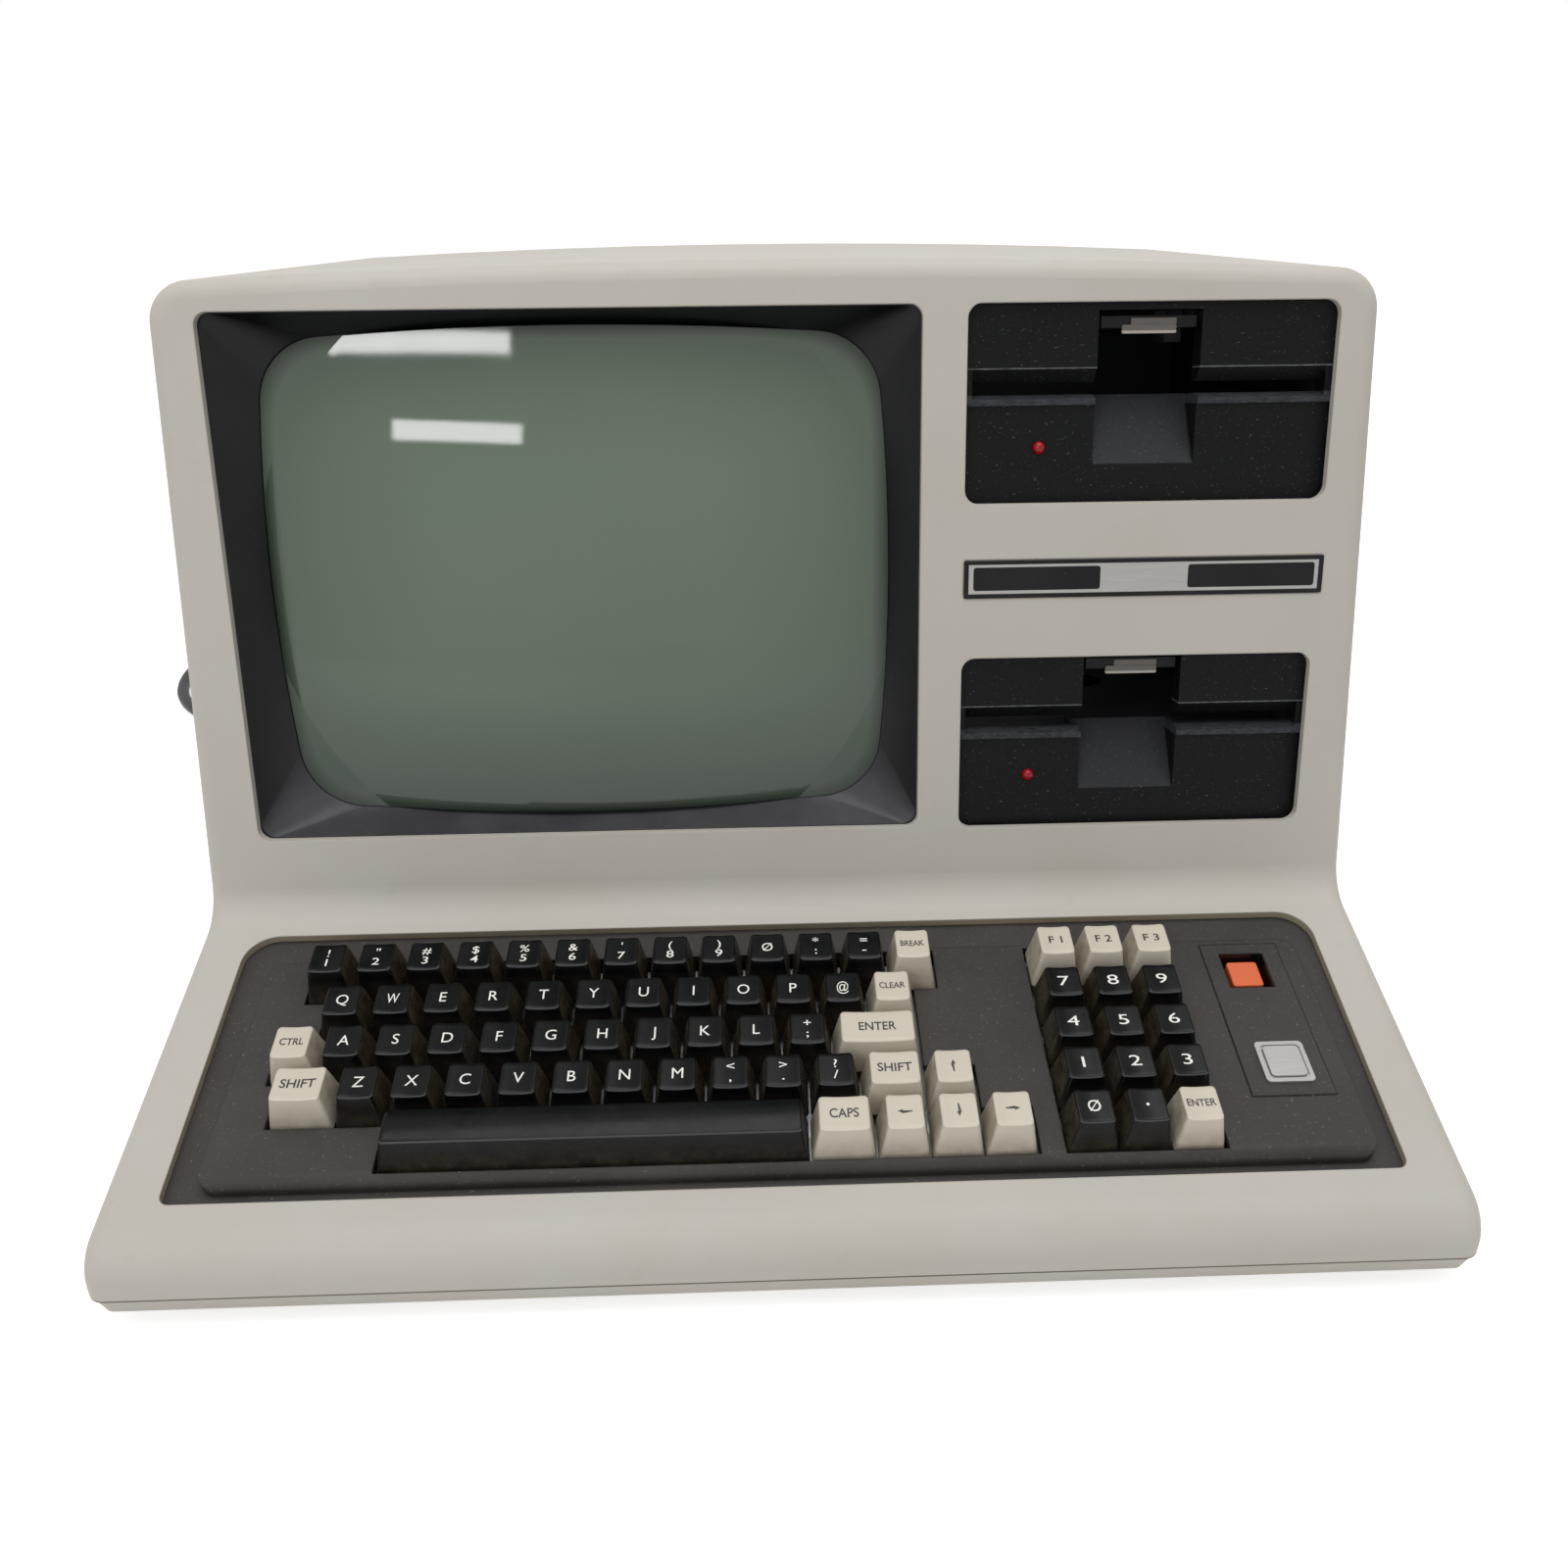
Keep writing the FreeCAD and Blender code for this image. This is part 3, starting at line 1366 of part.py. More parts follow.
def make_video_board():
    board = block(video_x0, video_x1, video_y0, video_y1, video_z, video_z + board_thick)
    adds = []
    for x in (video_x0 + standoff_inset, video_x1 - standoff_inset):
        for y in (video_y0 + standoff_inset, video_y1 - standoff_inset):
            adds.append(post(x, y, floor_z, video_z, standoff_radius))
    right = video_x1 - transformer_radius - standoff_inset
    far = video_y1 - transformer_radius - 2 * standoff_inset
    adds.append(post(right, far, video_z, video_z + transformer_high, transformer_radius))
    sink = block(video_x0 + 2 * standoff_inset, video_x0 + 2 * standoff_inset + slot_width,
                 video_y0 + sink_inset, video_y1 - sink_inset, video_z, video_z + transformer_high)
    adds.append(sink)
    return fused([board] + adds)


def make_board_bracket():
    sheet = block(bracket_x0, bracket_x1, bracket_y, bracket_y + bracket_sheet, floor_z, bracket_top)
    window = block(bracket_x0 + bracket_window, bracket_x1 - bracket_window, bracket_y - overrun,
                   bracket_y + overrun, bracket_window, bracket_top - bracket_window / 2)
    foot = block(bracket_x0, bracket_x1, bracket_y - bracket_foot, bracket_y + bracket_sheet, floor_z,
                 floor_z + bracket_sheet)
    rib_y = rib_places()[-1]
    gap = block(bracket_x0 - overrun, bracket_x1 + overrun, rib_y - rib_thick, rib_y + rib_thick,
                floor_z - overrun, floor_z + rib_high + seat_gap)
    return sheet.fuse(foot).cut([window, gap])


def make_main_board():
    board = block(main_x0, main_x1, main_y, main_y + board_thick, main_z0, main_z1)
    adds = []
    for x in (main_x0 + standoff_inset, main_x1 - standoff_inset):
        for z in (main_z0 + standoff_inset, main_z1 - standoff_inset):
            adds.append(rod(x, bracket_y + bracket_sheet, main_y, z, standoff_radius))
    pitch_x = (main_x1 - main_x0) / chip_columns
    pitch_z = (main_z1 - main_z0) / chip_rows
    for column in range(chip_columns):
        for row in range(chip_rows):
            x = main_x0 + pitch_x * column + pitch_x / 2
            z = main_z0 + pitch_z * row + pitch_z / 2
            adds.append(block(x - chip_long / 2, x + chip_long / 2, main_y + board_thick,
                              main_y + board_thick + chip_high, z - chip_wide / 2, z + chip_wide / 2))
    return fused([board] + adds)


def make_speaker():
    low = floor_z
    ring = post(speaker_x, speaker_y, low, low + speaker_rim, speaker_radius)
    basket = Part.makeCone(speaker_radius - speaker_rim, speaker_magnet, speaker_basket,
                           V(speaker_x, speaker_y, low))
    magnet = post(speaker_x, speaker_y, low + speaker_basket, low + speaker_basket + speaker_magnet_high,
                  speaker_magnet)
    hollow = Part.makeCone(speaker_radius - 2 * speaker_rim, speaker_magnet / 2, speaker_basket - speaker_rim,
                           V(speaker_x, speaker_y, low - seat_gap))
    return fused([ring, basket, magnet]).cut(hollow)


def rocker_reach():
    """Half length of the hole that the rocker's ends sweep through."""
    turn = math.radians(rocker_turn)
    drop = rocker_pivot_z - foot_height + rocker_proud
    return rocker_long / 2 * math.cos(turn) + drop * math.sin(turn) + rocker_gap


def make_switch_housing():
    half = rocker_wide / 2 + rocker_gap
    reach = rocker_reach()
    shell = block(switch_x - half - switch_shell, switch_x + half + switch_shell,
                  switch_y - reach - switch_shell, switch_y + reach + switch_shell,
                  floor_z, floor_z + switch_high)
    room = block(switch_x - half, switch_x + half, switch_y - reach, switch_y + reach,
                 floor_z - overrun, floor_z + switch_high - switch_shell)
    seats = barrel(switch_x - rocker_wide, switch_x + rocker_wide, switch_y, rocker_pivot_z,
                   pin_radius + pin_gap)
    shell = shell.cut([room, seats])
    tabs = [block(switch_x - blade_wide / 2, switch_x + blade_wide / 2, switch_y + side * blade_wide,
                  switch_y + side * blade_wide + blade_thick, floor_z + switch_high,
                  floor_z + switch_high + blade_wide) for side in (-1, 1)]
    return fused([shell] + tabs)


def make_power_switch():
    """Rocker with two faces meeting over its pivot, one of them pressed in."""
    half = rocker_long / 2
    low = -(rocker_pivot_z - foot_height + rocker_proud)
    rise = half * math.tan(math.radians(rocker_turn))
    points = [(-half, low + rise), (0, low), (half, low + rise), (half - rocker_gap, rocker_top),
              (rocker_gap - half, rocker_top)]
    body = side_profile(points, [rocker_gap, 0, rocker_gap, 0, 0], switch_x - rocker_wide / 2,
                        switch_x + rocker_wide / 2)
    pins = barrel(switch_x - rocker_wide / 2 - switch_shell, switch_x + rocker_wide / 2 + switch_shell, 0, 0,
                  pin_radius)
    return leaned(body.fuse(pins), rocker_turn, switch_y, rocker_pivot_z)


def knob_height():
    return foot_height - knob_proud + knob_radius


def make_knob(x, inner):
    """A thumbwheel with a shaft that runs into its potentiometer."""
    wheel = barrel(x - knob_thick / 2, x + knob_thick / 2, knob_y, knob_height(), knob_radius)
    cuts = []
    for i in range(knob_grips):
        angle = 2 * math.pi * i / knob_grips
        y = knob_y + knob_radius * math.cos(angle)
        z = knob_height() + knob_radius * math.sin(angle)
        cuts.append(barrel(x - knob_thick, x + knob_thick, y, z, knob_grip_radius))
    wheel = wheel.cut(Part.makeCompound(cuts))
    shaft = barrel(min(x, inner), max(x, inner), knob_y, knob_height(), knob_shaft)
    return wheel.fuse(shaft)


def pot_range():
    return brightness_x + knob_thick / 2 + 2 * seat_gap, contrast_x - knob_thick / 2 - 2 * seat_gap


def make_knob_controls():
    left, right = pot_range()
    body = block(left, right, knob_y - pot_side / 2, knob_y + pot_side / 2, floor_z, floor_z + pot_side)
    web = block(left + pot_wide, right - pot_wide, knob_y - pot_side, knob_y + pot_side, floor_z - overrun,
                floor_z + pot_side - board_thick)
    bore = knob_shaft + seat_gap
    shafts = barrel(left - overrun, left + pot_wide - board_thick, knob_y, knob_height(), bore)
    others = barrel(right - pot_wide + board_thick, right + overrun, knob_y, knob_height(), bore)
    return body.cut([web, shafts, others])


def make_cassette_jack():
    inner = rear - wall
    barrel_part = rod(jack_x, inner - relief_flange_high, rear - pin_gap, jack_z, jack_hole - seat_gap)
    flange = rod(jack_x, inner - relief_flange_high, inner, jack_z, relief_flange)
    back = block(jack_x - relief_wide, jack_x + relief_wide, inner - pot_side, inner - relief_flange_high,
                 jack_z - relief_wide, jack_z + relief_wide)
    holes = []
    for i in range(jack_contacts):
        angle = math.pi * i / (jack_contacts - 1)
        holes.append(rod(jack_x + jack_ring * math.cos(angle), inner - seat_gap, rear + overrun,
                         jack_z + jack_ring * math.sin(angle), jack_contact_radius))
    rebate = rod(jack_x, rear - wall / 2, rear + overrun, jack_z, jack_hole - relief_groove - seat_gap)
    return fused([barrel_part, flange, back]).cut([rebate] + holes)


def make_strain_relief():
    inner = rear - wall
    end = rear + relief_long
    points = [V(0, inner - relief_flange_high, 0), V(relief_flange, inner - relief_flange_high, 0),
              V(relief_flange, inner, 0), V(relief_wide, inner, 0), V(relief_wide, rear, 0)]
    step = relief_long / (2 * relief_rings)
    for i in range(2 * relief_rings):
        y = rear + (i + 1) * step
        radius = relief_wide + (relief_tip - relief_wide) * (i + 1) / (2 * relief_rings)
        if i % 2 == 0:
            points += [V(radius - relief_groove, y - step, 0), V(radius - relief_groove, y, 0)]
        else:
            points += [V(radius, y - step, 0), V(radius, y, 0)]
    points += [V(0, end, 0), V(0, inner - relief_flange_high, 0)]
    moved = [V(cord_exit_x + p.x, p.y, cord_exit_z) for p in points]
    face = Part.Face(Part.makePolygon(moved))
    return face.revolve(V(cord_exit_x, 0, cord_exit_z), V(0, 1, 0), full_turn)


def cord_route():
    """Points of the free cord, from the end of the strain relief to the coil."""
    low = cord_radius
    back = rear + relief_long
    return [
        V(cord_exit_x, back - seat_gap, cord_exit_z),
        V(-208, 333, 32),
        V(-232, 358, 12),
        V(-268, 371, low),
        V(-315, 373, low),
        V(-360, 355, low),
        V(-393, 319, low),
        V(-406, 278, low),
        V(-401, 236, low),
        V(-378, 203, low),
        V(-343, 185, low),
        V(-308, 196, low),
        V(-290, 228, low),
        V(-272, 278, low),
        V(-243, 311, low),
        V(-200, 321, low),
        V(-156, coil_y - coil_reach, low),
        V(coil_x - 2 * cord_radius, coil_y - coil_reach, low),
    ]


def rounded_route(points):
    """Straight runs joined by an arc at each inner point, and the arc radii."""
    edges = []
    radii = []
    here = points[0]
    for i in range(1, len(points) - 1):
        before = points[i - 1] - points[i]
        after = points[i + 1] - points[i]
        half = (math.pi - before.getAngle(after)) / 2
        reach = arc_share * min(before.Length, after.Length)
        radius = reach / math.tan(half)
        radii.append(radius)
        first = points[i] + unit(before) * reach
        last = points[i] + unit(after) * reach
        inside = unit(unit(before) + unit(after))
        middle = points[i] + inside * (radius / math.cos(half) - radius)
        edges.append(Part.makeLine(here, first))
        edges.append(Part.Arc(first, middle, last).toShape())
        here = last
    edges.append(Part.makeLine(here, points[-1]))
    return edges, radii


def tube(edges, start, direction):
    circle = Part.Wire([Part.makeCircle(cord_radius, start, direction)])
    return Part.Wire(edges).makePipeShell([circle], True, False)


def make_power_cord():
    points = cord_route()
    edges, radii = rounded_route(points)
    cord = tube(edges, points[0], points[1] - points[0])
    length = sum(e.Length for e in edges)
    share = cord.Volume / (math.pi * cord_radius ** 2 * length)
    print("cord length", round(length, 1), "volume share", round(share, 4))
    print("cord arc radii", [round(r, 1) for r in radii])
    x, y, z = coil_end()
    tail = barrel(x, x + tail_long, y, z, cord_radius)
    return Part.makeCompound([cord, tail])


def arc_pair(start, start_way, end, end_way):
    """Two arcs that leave one point and reach another along given directions."""
    gap = end - start
    ways = start_way + end_way
    spare = 2 * (1 - start_way.dot(end_way))
    along = gap.dot(ways)
    reach = (-along + math.sqrt(along * along + spare * gap.dot(gap))) / spare
    first = start + start_way * reach
    second = end - end_way * reach
    joint = first + (second - first) * half_share
    edges = []
    for a, corner, b in ((start, first, joint), (joint, second, end)):
        chord = a + (b - a) * half_share
        angle = (corner - a).getAngle(b - a)
        middle = chord + (corner - chord) * (math.cos(angle) / (1 + math.cos(angle)))
        edges.append(Part.Arc(a, middle, b).toShape())
    return edges


def coil_stations():
    """Points where the coil passes its front and back, each with its direction."""
    y = coil_y - coil_reach
    z = cord_radius
    stations = [(V(coil_x, y, z), V(1, 0, 0))]
    radius = coil_reach - coil_pitch / 4
    way = 1
    for i in range(coil_halves_in + 1 + coil_halves_out):
        y += way * 2 * radius
        way = -way
        if i == coil_halves_in:
            z += coil_pitch
        stations.append((V(coil_x, y, z), V(way, 0, 0)))
        radius += coil_pitch / 2 if i >= coil_halves_in else -coil_pitch / 2
    return stations


def coil_end():
    place = coil_stations()[-1][0]
    return place.x + 2 * cord_radius - seat_gap, place.y, place.z


def make_cord_coil():
    stations = coil_stations()
    straight = V(2 * cord_radius, 0, 0)
    first = stations[0][0]
    last = stations[-1][0]
    edges = [Part.makeLine(first - straight - V(seat_gap, 0, 0), first)]
    for a, b in zip(stations, stations[1:]):
        edges += arc_pair(a[0], a[1], b[0], b[1])
    edges.append(Part.makeLine(last, last + straight))
    coil = tube(edges, first - straight - V(seat_gap, 0, 0), V(1, 0, 0))
    length = sum(e.Length for e in edges)
    share = coil.Volume / (math.pi * cord_radius ** 2 * length)
    places = []
    run = 0
    for edge in edges:
        steps = max(2, int(edge.Length / cord_radius))
        for i in range(steps):
            share_along = edge.FirstParameter + (edge.LastParameter - edge.FirstParameter) * i / steps
            places.append((run + edge.Length * i / steps, edge.valueAt(share_along)))
        run += edge.Length
    gaps = []
    for i, (run_a, a) in enumerate(places):
        for run_b, b in places[i + 1:]:
            if run_b - run_a > near_turn:
                gaps.append((a - b).Length)
    print("coil length", round(length, 1), "volume share", round(share, 4),
          "least gap", round(min(gaps) - 2 * cord_radius, 2))
    return coil


def make_mains_plug():
    x, y, z = coil_end()
    x += tail_long - seat_gap
    sleeve = Part.makeCone(cord_radius + relief_groove, plug_sleeve_wide, plug_sleeve, V(x, y, z),
                           V(1, 0, 0))
    start = x + plug_sleeve
    body = barrel(start, start + plug_body, y, z, plug_radius)
    body = body.makeFillet(plug_round, [e for e in body.Edges if e.Curve.TypeId == "Part::GeomCircle"])
    blades = []
    for side in (-1, 1):
        middle = y + side * blade_apart / 2
        blades.append(block(start + plug_body - plug_round, start + plug_body + blade_long,
                            middle - blade_thick / 2, middle + blade_thick / 2,
                            z - blade_wide / 2, z + blade_wide / 2))
    return fused([sleeve, body] + blades)


# Make and write every node
write("top_cover", make_top_cover())
write("base_tray", make_base_tray())
write("rubber_feet", make_feet())
write("cover_screws", make_screws())
write("screen_bezel", make_screen_bezel())
write("picture_tube", make_picture_tube())
write("tube_band", make_tube_band())
write("deflection_yoke", make_yoke())
write("neck_board", make_neck_board())
write("video_board", make_video_board())
for side, base in drive_bases():
    write(side + "_drive_front", make_drive_front(base))
    write(side + "_drive_body", make_drive_body(base))
    write(side + "_drive_lever", make_drive_lever(base))
write("drive_lamps", make_lamps())
write("drive_tower", make_drive_tower())
write("nameplate", make_nameplate())
write("keyboard_bezel", make_keyboard_bezel())
write("switch_plate", make_switch_plate())
write("key_switches", make_switches())
write("keyboard_board", make_keyboard_board())
write("reset_button", make_reset_button())
write("memory_badge", make_badge())
for name, spot in single_keys().items():
    write(name, make_key(*spot))
for name, spots in black_rows().items():
    write(name, Part.makeCompound([make_key(*spot) for spot in spots]))
write("power_supply", make_power_supply())
write("main_board", make_main_board())
write("board_bracket", make_board_bracket())
write("speaker", make_speaker())
write("power_switch", make_power_switch())
write("switch_housing", make_switch_housing())
write("brightness_knob", make_knob(brightness_x, pot_range()[0] + pot_wide - board_thick - seat_gap))
write("contrast_knob", make_knob(contrast_x, pot_range()[1] - pot_wide + board_thick + seat_gap))
write("knob_controls", make_knob_controls())
write("cassette_jack", make_cassette_jack())
write("strain_relief", make_strain_relief())
write("power_cord", make_power_cord())
write("cord_coil", make_cord_coil())
write("mains_plug", make_mains_plug())
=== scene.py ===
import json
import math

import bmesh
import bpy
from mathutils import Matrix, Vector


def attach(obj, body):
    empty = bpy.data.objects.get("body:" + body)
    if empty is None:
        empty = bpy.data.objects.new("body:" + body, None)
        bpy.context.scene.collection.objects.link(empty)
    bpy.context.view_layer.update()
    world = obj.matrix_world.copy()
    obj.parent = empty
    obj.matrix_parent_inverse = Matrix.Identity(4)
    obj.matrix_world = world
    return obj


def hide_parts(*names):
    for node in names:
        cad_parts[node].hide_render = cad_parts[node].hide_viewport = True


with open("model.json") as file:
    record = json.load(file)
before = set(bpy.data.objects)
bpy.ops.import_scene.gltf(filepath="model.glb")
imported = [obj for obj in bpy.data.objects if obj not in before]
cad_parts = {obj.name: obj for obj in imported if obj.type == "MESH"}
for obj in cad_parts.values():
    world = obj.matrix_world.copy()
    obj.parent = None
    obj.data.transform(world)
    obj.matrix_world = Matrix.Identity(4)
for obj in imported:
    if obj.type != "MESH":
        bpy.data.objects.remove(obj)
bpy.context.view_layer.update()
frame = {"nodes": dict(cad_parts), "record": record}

# %% [markdown]
# # A vintage home computer
# This is an all-in-one desktop computer: one plastic case holds a picture tube, two disk drives and a keyboard.
# The frame already holds a solid for every piece, in its real place and size, and this script never moves them.
# What is added here is what a solid can't carry: finishes, soft moulded keycaps with legends, thin trims, the
# mains lead, a studio and a camera.

MM = 0.001
NODES = frame["nodes"]
BODY = "machine"


def in_mm(place):
    """A place or some sizes in millimetres, rounded for printing."""
    return [round(value / MM, 1) for value in place]


# %% [markdown]
# ## Three sloping planes
# The keyboard's deck, the face that holds the screen, and the bed of keys each lean at their own angle. Working
# out every place in world axes would hide what is level with what. A matrix for each plane lets us write a
# place as the maker would: so far across, so far up the slope, so far proud of it.

# %% Planes of the case
CASE_DEPTH = 546.1 * MM
NOSE_Y = -CASE_DEPTH / 2
REAR_Y = CASE_DEPTH / 2
NOSE_TOP = 33.2 * MM
FACE_FOOT = 148.4 * MM
DECK_SLOPE = math.radians(14.4)
FACE_SLOPE = math.radians(13.19)
KEY_SLOPE = math.radians(12.41)
HOME_ROW = (0, NOSE_Y + 72.4 * MM, 65.3 * MM)
KEY_PITCH = 19.05 * MM
PART_LINE = 16.0 * MM
DRIVE_BASES = (158.0 * MM, 25.4 * MM)

DECK = Matrix.Translation((0, NOSE_Y, NOSE_TOP)) @ Matrix.Rotation(DECK_SLOPE, 4, "X")
FACE_PLACE = (0, NOSE_Y + FACE_FOOT, NOSE_TOP + FACE_FOOT * math.tan(DECK_SLOPE))
FACE = Matrix.Translation(FACE_PLACE) @ Matrix.Rotation(-FACE_SLOPE, 4, "X")
KEYS = Matrix.Translation(HOME_ROW) @ Matrix.Rotation(KEY_SLOPE, 4, "X")
ACROSS = Vector((1, 0, 0))
UP = Vector((0, 0, 1))
UP_DECK = DECK.to_3x3() @ UP
ALONG_DECK = DECK.to_3x3() @ Vector((0, 1, 0))
UP_FACE = FACE.to_3x3() @ UP
UP_KEYS = KEYS.to_3x3() @ UP
ALONG_KEYS = KEYS.to_3x3() @ Vector((0, 1, 0))
print("the face starts at", in_mm(FACE_PLACE), "and the home row lies at", in_mm(HOME_ROW))

# %% [markdown]
# ## From a bmesh to a piece
# Each added piece is one mesh that rides on a body of the frame, so that it moves when the body does. Its
# object stays at the origin and its place is in its vertices, as the frame's own pieces have it. Two small
# helpers do this for all of them: one pours a finished bmesh into another, and one makes the piece.


# %% Helpers for meshes
def mesh_from(bm, name):
    """Write a bmesh into a new mesh and free it."""
    mesh = bpy.data.meshes.new(name)
    bm.to_mesh(mesh)
    bm.free()
    return mesh


def pour(into, part):
    """Move one bmesh's shape into another."""
    mesh = mesh_from(part, "poured")
    into.from_mesh(mesh)
    bpy.data.meshes.remove(mesh)


def piece(name, mesh, material, body=BODY, smooth=True):
    """Put a mesh in the scene as a piece that rides on a body."""
    mesh.name = name
    mesh.materials.clear()
    mesh.materials.append(material)
    if smooth:
        mesh.shade_smooth()
    thing = bpy.data.objects.new(name, mesh)
    bpy.context.scene.collection.objects.link(thing)
    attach(thing, body)
    print(name, "has", len(mesh.polygons), "faces and rides on", body)
    return thing


# %% [markdown]
# ## Building finishes from nodes
# A finish is a surface shader with patterns plugged in. Image textures would need unwrapping and would blur up
# close, so every pattern here is worked out from Object coordinates, in real millimetres. One function adds any
# node with its settings and links, so that a material reads as a list of what it is made of. Colours are
# written as hex digits, as a paint chart gives them, and one function turns them to the linear light that a
# shader counts in.


# %% Colours and nodes
def linear(code):
    """A colour written as six sRGB hex digits, as linear red, green, blue and alpha."""
    channels = [int(code[i:i + 2], 16) / 255 for i in (0, 2, 4)]
    return [c / 12.92 if c <= 0.04045 else ((c + 0.055) / 1.055) ** 2.4 for c in channels] + [1.0]


def add_node(tree, kind, inputs=(), output=0, **settings):
    """Add a node with its settings and links, and give back one of its outputs."""
    made = tree.nodes.new("ShaderNode" + kind)
    for name, value in settings.items():
        setattr(made, name, value)
    for name, value in dict(inputs).items():
        if isinstance(value, bpy.types.NodeSocket):
            tree.links.new(value, made.inputs[name])
        else:
            made.inputs[name].default_value = value
    return made.outputs[output]


print("a mid grey of 808080 is", round(linear("808080")[0], 3), "in linear light")

# %% [markdown]
# ## Patterns of a real size
# Moulded and worn plastic needs the same few patterns again and again: patches of a real size, the distance
# along a direction, a stripe between two distances, tints laid over each other, and a fine pebbled skin. They
# could be loose functions, but one small class keeps them with the material that they belong to. Each gives
# back a socket, so a pattern can be plugged into another.


# %% A finish and its patterns
class Finish:
    """One procedural material, and the patterns that its surface is made of."""

    def __init__(self, name):
        self.material = bpy.data.materials.new(name)
        self.material.use_nodes = True
        self.tree = self.material.node_tree
        self.surface = self.tree.nodes["Principled BSDF"]

    def node(self, kind, inputs=(), output=0, **settings):
        """Add a node to this material."""
        return add_node(self.tree, kind, inputs, output, **settings)

    def set(self, **values):
        """Link the surface's own sockets or give them plain values, and give back the material."""
        for name, value in values.items():
            socket = self.surface.inputs[name.replace("_", " ")]
            if isinstance(value, bpy.types.NodeSocket):
                self.tree.links.new(value, socket)
            else:
                socket.default_value = value
        return self.material

    def grain(self, size, detail=2.0, rough=0.5, stretch=(1, 1, 1)):
        """Noise whose features are about one size across, or drawn out along an axis."""
        place = self.node("TexCoord", output="Object")
        place = self.node("Mapping", {"Vector": place, "Scale": stretch})
        return self.node("TexNoise", {"Vector": place, "Scale": 1 / size, "Detail": detail, "Roughness": rough})

    def patches(self, size, low, high, least=0.0, most=1.0, detail=2.0, rough=0.5, stretch=(1, 1, 1)):
        """Grain cut off below low and above high, and spread from least to most."""
        grain = self.grain(size, detail, rough, stretch)
        return self.node("MapRange", {"Value": grain, "From Min": low, "From Max": high, "To Min": least,
                                      "To Max": most})

    def distance(self, place, direction):
        """How far the surface is from a place along a direction, in metres."""
        here = self.node("TexCoord", output="Object")
        offset = self.node("VectorMath", {0: here, 1: place}, operation="SUBTRACT")
        return self.node("VectorMath", {0: offset, 1: direction}, "Value", operation="DOT_PRODUCT")

    def facing(self, direction):
        """How far the surface looks along a direction, from -1 to 1."""
        outwards = self.node("TexCoord", output="Normal")
        return self.node("VectorMath", {0: outwards, 1: direction}, "Value", operation="DOT_PRODUCT")

    def stripe(self, value, low, high, soft=0.3 * MM):
        """One between low and high, nought outside, with soft ends."""
        rise = self.node("MapRange", {"Value": value, "From Min": low - soft, "From Max": low})
        fall = self.node("MapRange", {"Value": value, "From Min": high + soft, "From Max": high})
        return self.overlap(rise, fall)

    def overlap(self, first, *others):
        """Where all of some shares hold: their product."""
        for share in others:
            first = self.node("Math", {0: first, 1: share}, operation="MULTIPLY")
        return first

    def layered(self, colour, *tints):
        """A colour with tints laid over it in order, each as far as its share says."""
        base = linear(colour)
        for share, tint in tints:
            base = self.node("Mix", {0: share, 6: base, 7: linear(tint)}, 2, data_type="RGBA")
        return base

    def skin(self, size, depth, strength, detail=2.0, rough=0.5, edge=None):
        """A pebbled surface for light only, with sharp edges softened by a radius."""
        below = {"Normal": self.node("Bevel", {"Radius": edge}, samples=4)} if edge else {}
        height = self.grain(size, detail, rough)
        return self.node("Bump", {"Height": height, "Distance": depth, "Strength": strength, **below})


print("patterns to build with:", [name for name in vars(Finish) if not name.startswith("_")])

# %% [markdown]
# ## The case and its tray
# The real case is two structural foam mouldings, sprayed with a fine textured paint. The paint takes up a
# little yellow with age, in clouds a hand wide, with small stains and specks, and dirt gathers in the seam
# between cover and tray. A flat colour would look like new plastic sheet, so thin tints of these go over each
# other. The cut walls of the keyboard's opening were never sprayed, and show the darker moulding.


# %% Sprayed case plastic
CUT_HALF = 218.4 * MM
CUT_FRONT = 21.3 * MM
CUT_BACK = 140.1 * MM
CUT_LOW = -4 * MM
CUT_TOP = -0.6 * MM
CLOUD = 70 * MM
STAIN = 14 * MM
SPECK = 0.9 * MM
SEAM_BELOW = -0.25 * MM
SEAM_ABOVE = 0.55 * MM
SEAM_SOFT = 0.2 * MM
CASE_EDGE = 0.9 * MM


def sprayed_plastic(name, colour, aged, cut_edge=None):
    """Sprayed structural foam: matte, finely grained, aged in clouds, brown along the seam."""
    made = Finish(name)
    tints = [(made.patches(CLOUD, 0.35, 0.7, 0, 0.4, 4, 0.6), aged),
             (made.patches(STAIN, 0.62, 0.8, 0, 0.15, 5, 0.7), "8A8474"),
             (made.patches(SPECK, 0.68, 0.74, 0, 0.22, 3, 0.7), "7A746A")]
    if cut_edge:
        walls = made.overlap(made.stripe(made.distance((0, 0, 0), ACROSS), -CUT_HALF, CUT_HALF),
                             made.stripe(made.distance(DECK.translation, ALONG_DECK), CUT_FRONT, CUT_BACK),
                             made.stripe(made.distance(DECK.translation, UP_DECK), CUT_LOW, CUT_TOP))
        tints.append((walls, cut_edge))
    seam = made.stripe(made.distance((0, 0, PART_LINE), UP), SEAM_BELOW, SEAM_ABOVE, SEAM_SOFT)
    tints.append((made.overlap(seam, 0.9), "4A3B26"))
    return made.set(Base_Color=made.layered(colour, *tints), Specular_IOR_Level=0.35,
                    Roughness=made.patches(5 * MM, 0.3, 0.7, 0.48, 0.62, 3, 0.6, (1, 6, 6)),
                    Normal=made.skin(0.5 * MM, 0.05 * MM, 0.5, 2, 0.6, CASE_EDGE))


case_finish = sprayed_plastic("sprayed_foam_case", "B8B4AC", "B2A99C", "A0957F")
tray_finish = sprayed_plastic("sprayed_foam_tray", "B2AEA5", "A79F90")
print("case finishes:", case_finish.name, "and", tray_finish.name)
